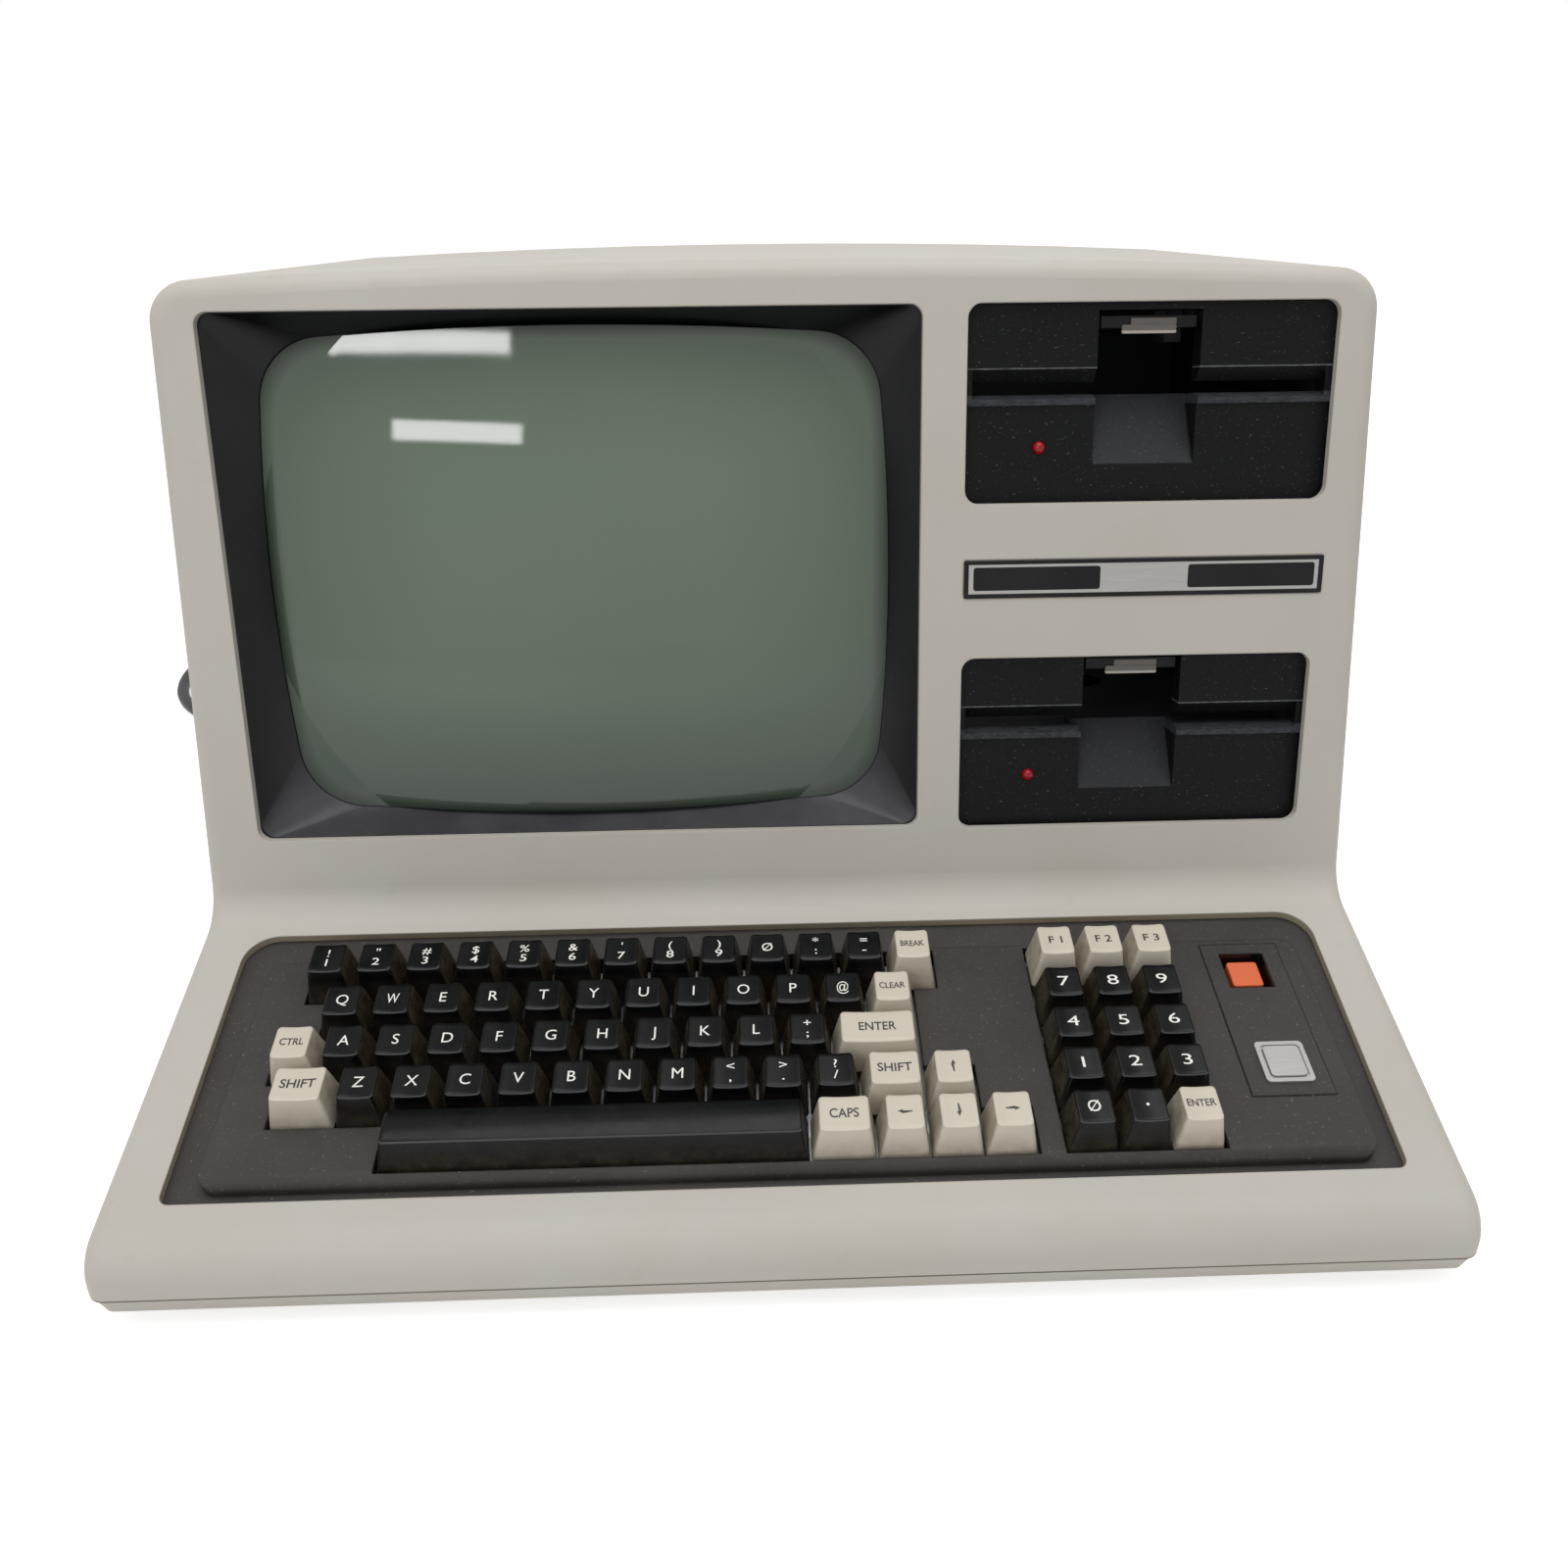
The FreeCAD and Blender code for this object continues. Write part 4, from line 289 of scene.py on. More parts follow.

# %% [markdown]
# ## Black mouldings
# The mask round the tube, the drives' levers and the nameplate's ink are all black, but not the same black. The
# mask is a satin moulding, and a lighter painted sheen goes into its colour on the faces that look upwards.
# The lever is plain dull plastic with a little dust in its grain. One pebble is about half a millimetre.


# %% Black mask and levers
DUST = 45 * MM
LINT_AND_GLINT = 0.7 * MM
BLACK_EDGE = 0.6 * MM


def mask_plastic(name, colour, painted_sheen):
    """Satin moulded plastic with a painted sheen on the faces that look upwards."""
    made = Finish(name)
    up = made.node("MapRange", {"Value": made.facing(UP), "From Min": 0.05, "From Max": 0.55, "To Max": 0.42})
    # painted sheen: lighter patches of colour on the faces that look upwards
    sheen_patches = made.overlap(up, made.patches(30 * MM, 0.35, 0.7, 0.6, 1, 3, 0.6))
    specks = made.patches(LINT_AND_GLINT, 0.7, 0.76, 0, 0.2, 2, 0.6)
    return made.set(Base_Color=made.layered(colour, (sheen_patches, painted_sheen), (specks, "8A8A8C")), Roughness=0.36,
                    Specular_IOR_Level=0.22, Normal=made.skin(0.5 * MM, 0.04 * MM, 0.8, 2, 0.55, BLACK_EDGE))


def dusty_black(name, colour, pebble, depth, rough, shine, dust_share):
    """Black plastic with settled dust, rougher where the dust lies."""
    made = Finish(name)
    dusty = made.patches(DUST, 0.4, 0.8, 0, dust_share, 4, 0.6)
    specks = made.patches(LINT_AND_GLINT, 0.7, 0.76, 0, 0.3, 2, 0.6)
    return made.set(Base_Color=made.layered(colour, (dusty, "6E6860"), (specks, "8A8A8C")),
                    Roughness=made.patches(DUST, 0.4, 0.8, rough, rough + 0.12, 4, 0.6),
                    Specular_IOR_Level=shine, Normal=made.skin(pebble, depth, 0.8, 2, 0.55, BLACK_EDGE))


# 6A686D is the painted sheen on the mask's upward faces
mask_finish = mask_plastic("satin_mask_moulding", "08090B", "6A686D")
lever_finish = dusty_black("satin_lever_moulding", "08080A", 0.4 * MM, 0.02 * MM, 0.42, 0.2, 0.03)
plate_ink = dusty_black("black_plate_ink", "0D0D10", 0.3 * MM, 0.01 * MM, 0.35, 0.2, 0.04)
print("black finishes:", mask_finish.name, lever_finish.name, plate_ink.name)

# %% [markdown]
# ## The keyboard's surround
# This is textured black plastic that has lain flat for decades, so it is grey with dust, with lint and scuffs
# along it. The small panel round the reset button has a fine dark joint. That joint is far thinner than a solid
# can hold, so it is drawn as the edge of a rectangle: the larger of the distances past its sides and its ends
# is nought just there. The well of the button is moulded glossy, and stays black.


# %% Keyboard surround
PANEL_MIDDLE = 185.7 * MM
PANEL_HALF = 15.7 * MM
PANEL_RISE = 10 * MM
PANEL_DEEP = 37 * MM
JOINT_HALF = 0.25 * MM
WELL_ACROSS = (174.8 * MM, 196.4 * MM)
WELL_ALONG = (22.4 * MM, 44 * MM)
WELL_UP = (-60 * MM, -14 * MM)
SURROUND_DUST = 60 * MM


def surround_plastic(name, colour):
    """Textured plastic, grey with dust, with a fine joint round one panel and a glossy well."""
    made = Finish(name)
    dusty = made.patches(SURROUND_DUST, 0.35, 0.75, 0.08, 0.28, 5, 0.65)
    side = made.node("Math", {0: made.distance((PANEL_MIDDLE, 0, 0), ACROSS)}, operation="ABSOLUTE")
    end = made.distance(KEYS @ Vector((0, PANEL_RISE, 0)), ALONG_KEYS)
    end = made.node("Math", {0: end}, operation="ABSOLUTE")
    side = made.node("Math", {0: side, 1: PANEL_HALF}, operation="SUBTRACT")
    end = made.node("Math", {0: end, 1: PANEL_DEEP}, operation="SUBTRACT")
    outside = made.node("Math", {0: side, 1: end}, operation="MAXIMUM")
    joint = made.stripe(outside, -JOINT_HALF, JOINT_HALF, 0.2 * MM)
    lint = made.patches(1.3 * MM, 0.63, 0.7, 0, 0.4, 4, 0.75)
    scuff = made.patches(3 * MM, 0.62, 0.72, 0, 0.3, 4, 0.7, (1, 9, 9))
    well = made.overlap(made.stripe(made.distance((0, 0, 0), ACROSS), *WELL_ACROSS),
                        made.stripe(made.distance(KEYS.translation, ALONG_KEYS), *WELL_ALONG),
                        made.stripe(made.distance(KEYS.translation, UP_KEYS), *WELL_UP))
    matte = made.patches(SURROUND_DUST, 0.35, 0.75, 0.5, 0.66, 5, 0.65)
    polish = made.node("Mix", {0: well, 2: matte, 3: 0.2})
    base = made.layered(colour, (dusty, "655F56"), (joint, "121110"), (lint, "A09A90"), (scuff, "857D72"),
                        (well, "09090B"))
    return made.set(Base_Color=base, Roughness=polish, Specular_IOR_Level=0.3,
                    Normal=made.skin(0.45 * MM, 0.05 * MM, 0.7, 2, 0.55, 0.8 * MM))


surround_finish = surround_plastic("dusty_keyboard_surround", "222122")
print("surround finish:", surround_finish.name)

# %% [markdown]
# ## The drive fronts
# Disk drive fronts of this age are moulded with a coarse leather grain, about a millimetre, with painted glints
# as pale specks. The ledge under the slot gets a painted highlight where it faces up, with some wear from
# sleeves, and the edge above it gets a painted highlight as a pale line. Both lie at known heights on the face,
# so they are stripes over the height, kept away from the ramp in the middle.


# %% Drive fronts
LEDGE = (41.4 * MM, 45.0 * MM)
HIGHLIGHT_LINE = (54.8 * MM, 55.1 * MM)
RAMP = (19 * MM, 45 * MM)
RAMP_SIDES = (125.2 * MM, 163.8 * MM)
LEATHER = 1.4 * MM


def drive_plastic(name, colour):
    """Coarsely grained black plastic, with a painted highlight on each of the slot's two lips, some wear on the
    lower one, and painted glints.
    """
    made = Finish(name)
    level = made.distance(FACE.translation, UP_FACE)
    # patches of the grain that break up the painted highlights
    sheen_patches = made.patches(LEATHER, 0.35, 0.6, 0.35, 1, 4, 0.7, (0.5, 1, 1))
    middle = made.stripe(made.distance((0, 0, 0), ACROSS), *RAMP_SIDES)
    beside = made.node("Math", {0: 1.0, 1: middle}, operation="SUBTRACT")
    tints = []
    for base in DRIVE_BASES:
        # ledge tint 3A3D40 is a painted highlight with some wear, and line tint 6E7073 a painted highlight along
        # the panel's edge
        ledge = made.stripe(level, base + LEDGE[0], base + LEDGE[1], 0.5 * MM)
        line = made.stripe(level, base + HIGHLIGHT_LINE[0], base + HIGHLIGHT_LINE[1], 0.12 * MM)
        ramp = made.stripe(level, base + RAMP[0], base + RAMP[1])
        tints += [(made.overlap(ledge, beside, sheen_patches), "3A3D40"), (made.overlap(line, beside, sheen_patches), "6E7073"),
                  (made.overlap(ramp, middle), "28292C")]
    # pale specks are painted glints on the grain
    tints.append((made.patches(LINT_AND_GLINT, 0.66, 0.73, 0, 0.34, 2, 0.65, (0.55, 1, 1)), "7C7F83"))
    return made.set(Base_Color=made.layered(colour, *tints), Specular_IOR_Level=0.13,
                    Roughness=made.patches(LEATHER, 0.35, 0.6, 0.4, 0.52, 4, 0.7, (0.5, 1, 1)),
                    Normal=made.skin(1.1 * MM, 0.2 * MM, 0.9, 3, 0.6, 0.5 * MM))


drive_finish = drive_plastic("leather_grained_drive_front", "090A0B")
print("drive finish:", drive_finish.name)

# %% [markdown]
# ## Keycap plastic
# Keycaps are glossy moulded plastic. Fingers keep their tops clean, and brown grime stays on the flanks and
# between the keys, with painted shade on the flanks as well, so the share of grime and shade grows downwards and
# sideways. A painted highlight runs along the front of each top's edge, which a band over the facing angle gives
# without any extra shape.


# %% Keycap plastic
SHADE_AND_GRIME_STARTS = -2.5 * MM
SHADE_AND_GRIME_FULL = -13 * MM


def keycap_plastic(name, colour, shade_and_grime_colour, shade_and_grime_share, rough, shine, edge):
    """Glossy moulding, clean on top, with grime and painted shade down its flanks and a painted highlight along
    its front edge.
    """
    made = Finish(name)
    # grime and painted shade: darker down the flanks and on the sides
    flank = made.node("MapRange", {"Value": made.distance(KEYS.translation, UP_KEYS), "From Min": SHADE_AND_GRIME_STARTS,
                                   "From Max": SHADE_AND_GRIME_FULL, "To Max": 0.75})
    side = made.node("Math", {0: made.facing(ACROSS)}, operation="ABSOLUTE")
    side = made.node("MapRange", {"Value": side, "From Min": 0.7, "From Max": 0.96})
    shade_and_grime = made.node("Math", {0: flank, 1: side}, operation="MAXIMUM")
    shade_and_grime = made.overlap(shade_and_grime, made.patches(6 * MM, 0.35, 0.65, 0.35, 1, 4, 0.7), shade_and_grime_share)
    worn = made.patches(16 * MM, 0.4, 0.7, 0, 0.03, 3, 0.6)
    # painted highlight along the front of each top's edge, in the edge colour
    front = made.node("MapRange", {"Value": made.facing(-ALONG_KEYS), "From Min": 0.25, "From Max": 0.5,
                                   "To Max": 0.4})
    painted_edge_highlight = made.overlap(made.stripe(made.facing(UP_KEYS), 0.55, 0.85, 0.07), front)
    return made.set(Base_Color=made.layered(colour, (shade_and_grime, shade_and_grime_colour), (worn, shade_and_grime_colour), (painted_edge_highlight, edge)),
                    Roughness=made.patches(9 * MM, 0.3, 0.7, rough - 0.06, rough + 0.08, 3, 0.6),
                    Specular_IOR_Level=shine, Normal=made.skin(0.35 * MM, 0.012 * MM, 0.5))


# the last colour of each is the painted highlight along the front edges
black_key_finish = keycap_plastic("glossy_black_keycap", "050608", "544C40", 0.6, 0.25, 0.15, "6A6B6F")
cream_key_finish = keycap_plastic("glossy_cream_keycap", "C5BDAE", "857966", 0.75, 0.36, 0.35, "E4DCCE")
print("keycap finishes:", black_key_finish.name, "and", cream_key_finish.name)

# %% [markdown]
# ## The picture tube's glass
# The screen is thick grey glass with a phosphor behind it, so what the eye sees is a soft grey-green with a
# polished surface in front. Real transparency would show the hollow tube, which the phosphor hides on the real
# one, so an opaque colour under a sharp gloss is both truer and quicker. Shade is painted into the colour: darker
# towards the rim and the foot, with a dark painted shadow ring just inside the glass's edge. A rounded rectangle,
# drawn with a seventh-power distance, gives the rim.


# %% Screen glass
SCREEN_MIDDLE = (-78.45 * MM, 133.8 * MM)
SCREEN_HALF = (124.6 * MM, 97.9 * MM)
SCREEN_POWER = 7
PAINTED_SHADE_FROM = 110 * MM
PAINTED_SHADE_TO = 40 * MM


def screen_glass(name):
    """Grey-green phosphor seen through polished glass, with painted shade towards its rim and its foot and a
    painted shadow ring at its edge.
    """
    made = Finish(name)
    sides = []
    for place, direction, half in ((ACROSS * SCREEN_MIDDLE[0], ACROSS, SCREEN_HALF[0]),
                                   (FACE @ Vector((0, 0, SCREEN_MIDDLE[1])), UP_FACE, SCREEN_HALF[1])):
        share = made.node("Math", {0: made.distance(place, direction), 1: half}, operation="DIVIDE")
        share = made.node("Math", {0: share}, operation="ABSOLUTE")
        sides.append(made.node("Math", {0: share, 1: SCREEN_POWER}, operation="POWER"))
    rim = made.node("Math", {0: sides[0], 1: sides[1]}, operation="ADD")
    rim = made.node("Math", {0: rim, 1: 1 / SCREEN_POWER}, operation="POWER")
    # painted shade towards the rim
    shade = made.node("MapRange", {"Value": rim, "From Min": 0.45, "From Max": 0.95, "To Max": 0.3})
    # painted shade towards the foot
    low = made.node("MapRange", {"Value": made.distance(FACE.translation, UP_FACE), "From Min": PAINTED_SHADE_FROM,
                                 "From Max": PAINTED_SHADE_TO, "To Max": 0.62})
    # painted shadow ring just inside the glass's edge, where the mask meets it
    border = made.node("MapRange", {"Value": rim, "From Min": 0.945, "From Max": 0.995, "To Max": 0.9})
    cloud = made.patches(90 * MM, 0.3, 0.7, 0, 0.35)
    dust = made.patches(1.1 * MM, 0.7, 0.76, 0, 0.2, 3, 0.7)
    base = made.layered("62715F", (cloud, "566858"), (dust, "97A092"), (shade, "3C463D"), (low, "26352C"),
                        (border, "161B18"))
    return made.set(Base_Color=base, Specular_IOR_Level=0.42,
                    Roughness=made.patches(28 * MM, 0.35, 0.7, 0.02, 0.05, 4, 0.6),
                    Normal=made.skin(0.25 * MM, 0.004 * MM, 0.35))


glass_finish = screen_glass("polished_tube_glass")
print("screen finish:", glass_finish.name)

# %% [markdown]
# ## Metals, boards and small plastics
# Inside and underneath are zinc plated sheet, cast aluminium, enamelled copper wire and green circuit board,
# and outside are brushed plates, a red lamp lens and rubber. Each is short: a typical base, one pattern of the
# size that its making leaves, such as brushed lines or wound wire, and a matching roughness.


# %% Metals
LINES = 1.2 * MM


def lined_metal(name, colour, stretch, rough, metallic=1.0):
    """Metal with fine lines drawn out along one axis, from brushing, rolling or winding."""
    made = Finish(name)
    lines = made.patches(LINES, 0.3, 0.7, 0, 0.3, 4, 0.7, stretch)
    height = made.grain(LINES, 4, 0.7, stretch)
    lift = made.node("Bump", {"Height": height, "Distance": 0.01 * MM, "Strength": 0.4})
    return made.set(Base_Color=made.layered(colour, (lines, "6F6F70")), Metallic=metallic, Normal=lift,
                    Roughness=made.patches(LINES, 0.3, 0.7, rough, rough + 0.12, 4, 0.7, stretch))


steel_finish = lined_metal("zinc_plated_sheet_steel", "A9ABAC", (1, 1, 12), 0.32)
cast_finish = lined_metal("cast_aluminium", "55565A", (1, 1, 1), 0.5)
copper_finish = lined_metal("enamelled_copper_winding", "B4683C", (1, 14, 14), 0.4)
silver_finish = lined_metal("brushed_silver_plate", "A9A7A4", (0.08, 4, 4), 0.42, 0.6)
print("metal finishes:", steel_finish.name, cast_finish.name, copper_finish.name, silver_finish.name)

# %% [markdown]
# ## Small plastics, lamp, rubber and board
# Buttons, switches and the speaker's basket are plain mouldings. The lever's lip is brighter along its lower
# edge, a lamp's lens is clear and dark while it is off, and rubber gets a pale bloom. A board is lacquered
# green over copper tracks, which stand out a little. Each could be a flat colour at this size, but a small
# pattern keeps them from looking like paper.


# %% Small plastics, lamp, rubber and board
LIP_EDGE = (67.3 * MM, 68.3 * MM)


def plain_plastic(name, colour, rough):
    """Injection moulded plastic, very slightly clouded."""
    made = Finish(name)
    return made.set(Base_Color=made.layered(colour, (made.patches(12 * MM, 0.3, 0.7, 0, 0.09, 3, 0.6), "808080")),
                    Roughness=made.patches(12 * MM, 0.3, 0.7, rough, rough + 0.1, 3, 0.6),
                    Normal=made.skin(0.5 * MM, 0.02 * MM, 0.5))


def bright_edged_lip(name, colour, bright):
    """Pale plastic with a brighter strip along its lower edge."""
    made = Finish(name)
    level = made.distance(FACE.translation, UP_FACE)
    # a brighter strip along the lower edge of each lip
    edges = [(made.stripe(level, base + LIP_EDGE[0], base + LIP_EDGE[1], 0.2 * MM), bright)
             for base in DRIVE_BASES]
    return made.set(Base_Color=made.layered(colour, *edges), Roughness=made.patches(3 * MM, 0.3, 0.7, 0.4, 0.55),
                    Normal=made.skin(0.4 * MM, 0.02 * MM, 0.5))


def lamp_lens(name):
    """A clear red lens over an unlit lamp: deep red, clouded inside, glossy outside."""
    made = Finish(name)
    return made.set(Base_Color=made.layered("A01018", (made.patches(2.4 * MM, 0.3, 0.7, 0, 0.5), "5E0810")),
                    Roughness=0.16, Specular_IOR_Level=0.3, Normal=made.skin(0.6 * MM, 0.01 * MM, 0.3, 1, 0.4))


def bloomed_rubber(name, colour, rough):
    """Rubber or soft cord jacket with the pale bloom that age brings out."""
    made = Finish(name)
    bloom = made.patches(10 * MM, 0.4, 0.75, 0, 0.25, 4, 0.6)
    return made.set(Base_Color=made.layered(colour, (bloom, "5A5854")),
                    Roughness=made.patches(10 * MM, 0.4, 0.75, rough, rough + 0.15, 4, 0.6),
                    Normal=made.skin(0.4 * MM, 0.03 * MM, 0.6, 2, 0.6))


def circuit_board(name):
    """Green lacquered board with slightly raised copper tracks."""
    made = Finish(name)
    tracks = made.patches(3 * MM, 0.5, 0.54, 0, 1, 1, 0.4, (1, 0.15, 1))
    return made.set(Base_Color=made.layered("1E4A2A", (tracks, "2C6238")), Roughness=0.35, Coat_Weight=0.4,
                    Normal=made.node("Bump", {"Height": tracks, "Distance": 0.03 * MM, "Strength": 0.6}))


switch_finish = plain_plastic("black_switch_moulding", "141414", 0.45)
button_finish = plain_plastic("orange_button_moulding", "D8602A", 0.38)
basket_finish = plain_plastic("painted_speaker_basket", "1A1A1A", 0.5)
lamp_finish = lamp_lens("red_lamp_lens")
foot_finish = bloomed_rubber("black_foot_rubber", "161616", 0.62)
jacket_finish = bloomed_rubber("dark_cord_jacket", "1E1E20", 0.5)
board_finish = circuit_board("lacquered_circuit_board")
print("small finishes:", [made.name for made in (switch_finish, button_finish, basket_finish, lamp_finish,
                                                 foot_finish, jacket_finish, board_finish)])

# %% [markdown]
# ## Dressing the frame's own pieces
# The record names a material slot for every piece, so the finishes are handed out by slot. A piece that is
# replaced further down gets its finish here too, which does no harm.

# %% Finishes by slot
FINISHES = {
    "case": case_finish, "tray": tray_finish, "black_mask": mask_finish, "screen_glass": glass_finish,
    "steel": steel_finish, "copper": copper_finish, "board": board_finish, "bezel": surround_finish,
    "plate_metal": steel_finish, "switch_black": switch_finish, "key_black": black_key_finish,
    "key_cream": cream_key_finish, "reset_orange": button_finish, "badge_silver": silver_finish,
    "drive_black": drive_finish, "drive_cast": cast_finish, "lever_black": lever_finish, "lamp_red": lamp_finish,
    "rubber": foot_finish, "cord_grey": jacket_finish, "screw_steel": steel_finish, "cone_black": basket_finish,
}
for part in frame["record"]["subparts"]:
    mesh = NODES[part["node"]].data
    mesh.materials.clear()
    mesh.materials.append(FINISHES[part["material_slot"]])

# %% [markdown]
# ## Keycaps: from block to cap
# A real keycap is a hollow moulding: it tapers to a smaller top that sits a little to the back, its edges are
# round, and its top is hollowed from side to side so that a finger finds it. The space bar is crowned instead.
# A block is enough to start from: its upper corners move in, its upright edges and the rim of its top are
# bevelled, and its foot is inset and pushed up for the hollow. Cuts then give the top enough points to be
# dished.

# %% Sizes of a keycap
KEY_GAP = 0.75 * MM
KEY_FOOT = -14.9 * MM
KEY_TOP_NARROW = 5.4 * MM
KEY_TOP_DEEP = 13.8 * MM
KEY_TOP_BACK = 0.8 * MM
KEY_DISH = 0.65 * MM
BAR_CROWN = 0.8 * MM
KEY_SHOULDER = 0.75 * MM
KEY_CORNER = 1.7 * MM
KEY_WALL = 1.3 * MM
KEY_ROOF = 1.6 * MM
STEM_SIDE = 4.0 * MM
STEM_FOOT = -20.6 * MM
CUTS_ACROSS = 8
CUTS_DEEP = 6
CORNER_STEPS = 4
SHOULDER_STEPS = 3
SHOULDER_REACH = 1.05
CUT_NEAR = 1e-6
ROW_RISE = [value * MM for value in (2.2, 0.1, 0.0, 0.6, 1.1)]
HOME = 2
BAR_PITCHES = 4
ROUND = {"affect": "EDGES", "profile": 0.5, "material": -1}


class Cap:
    """The sizes of one keycap in the bed of keys, from its row, its middle and its width in pitches."""

    def __init__(self, row, x, size):
        self.place = Matrix.Translation((x, (HOME - row) * KEY_PITCH, 0))
        self.top = ROW_RISE[row]
        self.half = (size * KEY_PITCH - KEY_GAP) / 2
        self.deep = (KEY_PITCH - KEY_GAP) / 2
        self.top_half = self.half - KEY_TOP_NARROW / 2
        self.top_deep = KEY_TOP_DEEP / 2
        self.is_bar = size > BAR_PITCHES

    def surface(self, x, y):
        """Height of the top at a place measured from the top's middle."""
        if self.is_bar:
            return self.top - BAR_CROWN * (y / self.top_deep) ** 2
        return self.top - KEY_DISH * (1 - min(1, (x / self.top_half) ** 2))


letter = Cap(1, 0, 1)
print("a letter key's width at its foot and on top, mm:", in_mm((2 * letter.half, 2 * letter.top_half)))


# %% A block becomes a cap
def tapered_block(cap):
    """The cap's outer block, narrower at its top, with round upright edges and a round rim."""
    bm = bmesh.new()
    bmesh.ops.create_cube(bm, size=1)
    bmesh.ops.scale(bm, vec=(2 * cap.half, 2 * cap.deep, cap.top - KEY_FOOT), verts=bm.verts)
    bmesh.ops.translate(bm, vec=(0, 0, (cap.top + KEY_FOOT) / 2), verts=bm.verts)
    upper = [v for v in bm.verts if v.co.z > KEY_FOOT / 2]
    bmesh.ops.scale(bm, vec=(cap.top_half / cap.half, cap.top_deep / cap.deep, 1), verts=upper)
    bmesh.ops.translate(bm, vec=(0, KEY_TOP_BACK, 0), verts=upper)
    upright = [e for e in bm.edges if (e.verts[0] in upper) != (e.verts[1] in upper)]
    bmesh.ops.bevel(bm, geom=upright, offset=KEY_CORNER, segments=CORNER_STEPS, **ROUND)
    roof = max(bm.faces, key=lambda face: face.calc_center_median().z)
    bmesh.ops.bevel(bm, geom=list(roof.edges), offset=KEY_SHOULDER, segments=SHOULDER_STEPS, **ROUND)
    return bm


block = tapered_block(letter)
print("the block has", len(block.faces), "faces once its edges are round")
block.free()

# %% [markdown]
# ## Keycaps: hollow, dish and stem
# Under the real cap its walls are a little over a millimetre thick, and a square stem goes down into the
# switch. The hollow could be a second block taken away with a boolean, but insetting the foot and pushing it up
# gives the same walls with clean faces. The top has too few points to bend, so planes cut the cap across and
# along first.


# %% Hollow, dish and stem
def hollow_out(bm, cap):
    """Inset the foot and push it up to the roof, narrowing as the walls do, and open the foot."""
    foot = min(bm.faces, key=lambda face: face.calc_center_median().z)
    bmesh.ops.inset_region(bm, faces=[foot], thickness=KEY_WALL, use_even_offset=True)
    made = bmesh.ops.extrude_face_region(bm, geom=[foot])
    bmesh.ops.delete(bm, geom=[foot], context="FACES_ONLY")
    inner = [part for part in made["geom"] if isinstance(part, bmesh.types.BMVert)]
    ceiling = cap.top - KEY_ROOF
    share = (ceiling - KEY_FOOT) / (cap.top - KEY_FOOT)
    narrow_x = (cap.half + (cap.top_half - cap.half) * share - KEY_WALL) / (cap.half - KEY_WALL)
    narrow_y = (cap.deep + (cap.top_deep - cap.deep) * share - KEY_WALL) / (cap.deep - KEY_WALL)
    bmesh.ops.scale(bm, vec=(narrow_x, narrow_y, 1), verts=inner)
    bmesh.ops.translate(bm, vec=(0, KEY_TOP_BACK * share, ceiling - KEY_FOOT), verts=inner)


def dish_top(bm, cap):
    """Cut the cap across and along, then lower its top to the dish or crown."""
    cuts = [((share * 2 - 1) * (cap.top_half - KEY_CORNER), 0, ACROSS)
            for share in (i / CUTS_ACROSS for i in range(CUTS_ACROSS + 1))]
    cuts += [(0, (share * 2 - 1) * (cap.top_deep - KEY_CORNER) + KEY_TOP_BACK, Vector((0, 1, 0)))
             for share in (i / CUTS_DEEP for i in range(CUTS_DEEP + 1))]
    for x, y, way in cuts:
        whole = bm.verts[:] + bm.edges[:] + bm.faces[:]
        bmesh.ops.bisect_plane(bm, geom=whole, dist=CUT_NEAR, plane_co=(x, y, 0), plane_no=way)
    for v in bm.verts:
        if v.co.z > cap.top - KEY_SHOULDER * SHOULDER_REACH:
            v.co.z += cap.surface(v.co.x, v.co.y - KEY_TOP_BACK) - cap.top


def keycap(cap):
    """A finished cap with its stem, in its place among the keys."""
    bm = tapered_block(cap)
    hollow_out(bm, cap)
    dish_top(bm, cap)
    stem = bmesh.ops.create_cube(bm, size=1)["verts"]
    stem_top = cap.top - KEY_ROOF
    bmesh.ops.scale(bm, vec=(STEM_SIDE, STEM_SIDE, stem_top - STEM_FOOT), verts=stem)
    bmesh.ops.translate(bm, vec=(0, 0, (stem_top + STEM_FOOT) / 2), verts=stem)
    bmesh.ops.transform(bm, matrix=KEYS @ cap.place, verts=bm.verts)
    return bm


sample = keycap(letter)
gaps = sum(not edge.is_manifold for edge in sample.edges)
print("a finished cap has", len(sample.faces), "faces and", gaps, "edges that don't close")
sample.free()

# %% [markdown]
# ## Legends
# The real legends are moulded through or printed, and follow the dished top. A picture of letters would be
# blurred and needs unwrapping. Letters made as a curve, turned to a mesh and laid on the cap's own surface stay
# sharp at any distance. Only plain letters, digits and signs are used, and the arrows are small outlines of a
# few points.

# %% Letters
PAINT_LIFT = 0.06 * MM
LETTER_HIGH = 4.4 * MM
LETTER_WIDE = 4.6 * MM
DIGIT_HIGH = 4.5 * MM
PAIR_HIGH = 3.4 * MM
PAIR_PITCH = 4.7 * MM
DOT_HIGH = 3.2 * MM
NUMBER_HIGH = 3.96 * MM
SIGN_WEIGHT = 0.003
WORD_WEIGHT = 0.016
SIGN_WIDE = 1.2
PAIR_DIGIT_WIDE = 1.3
DIGIT_WIDE = 1.5
TYPE_STEPS = 4


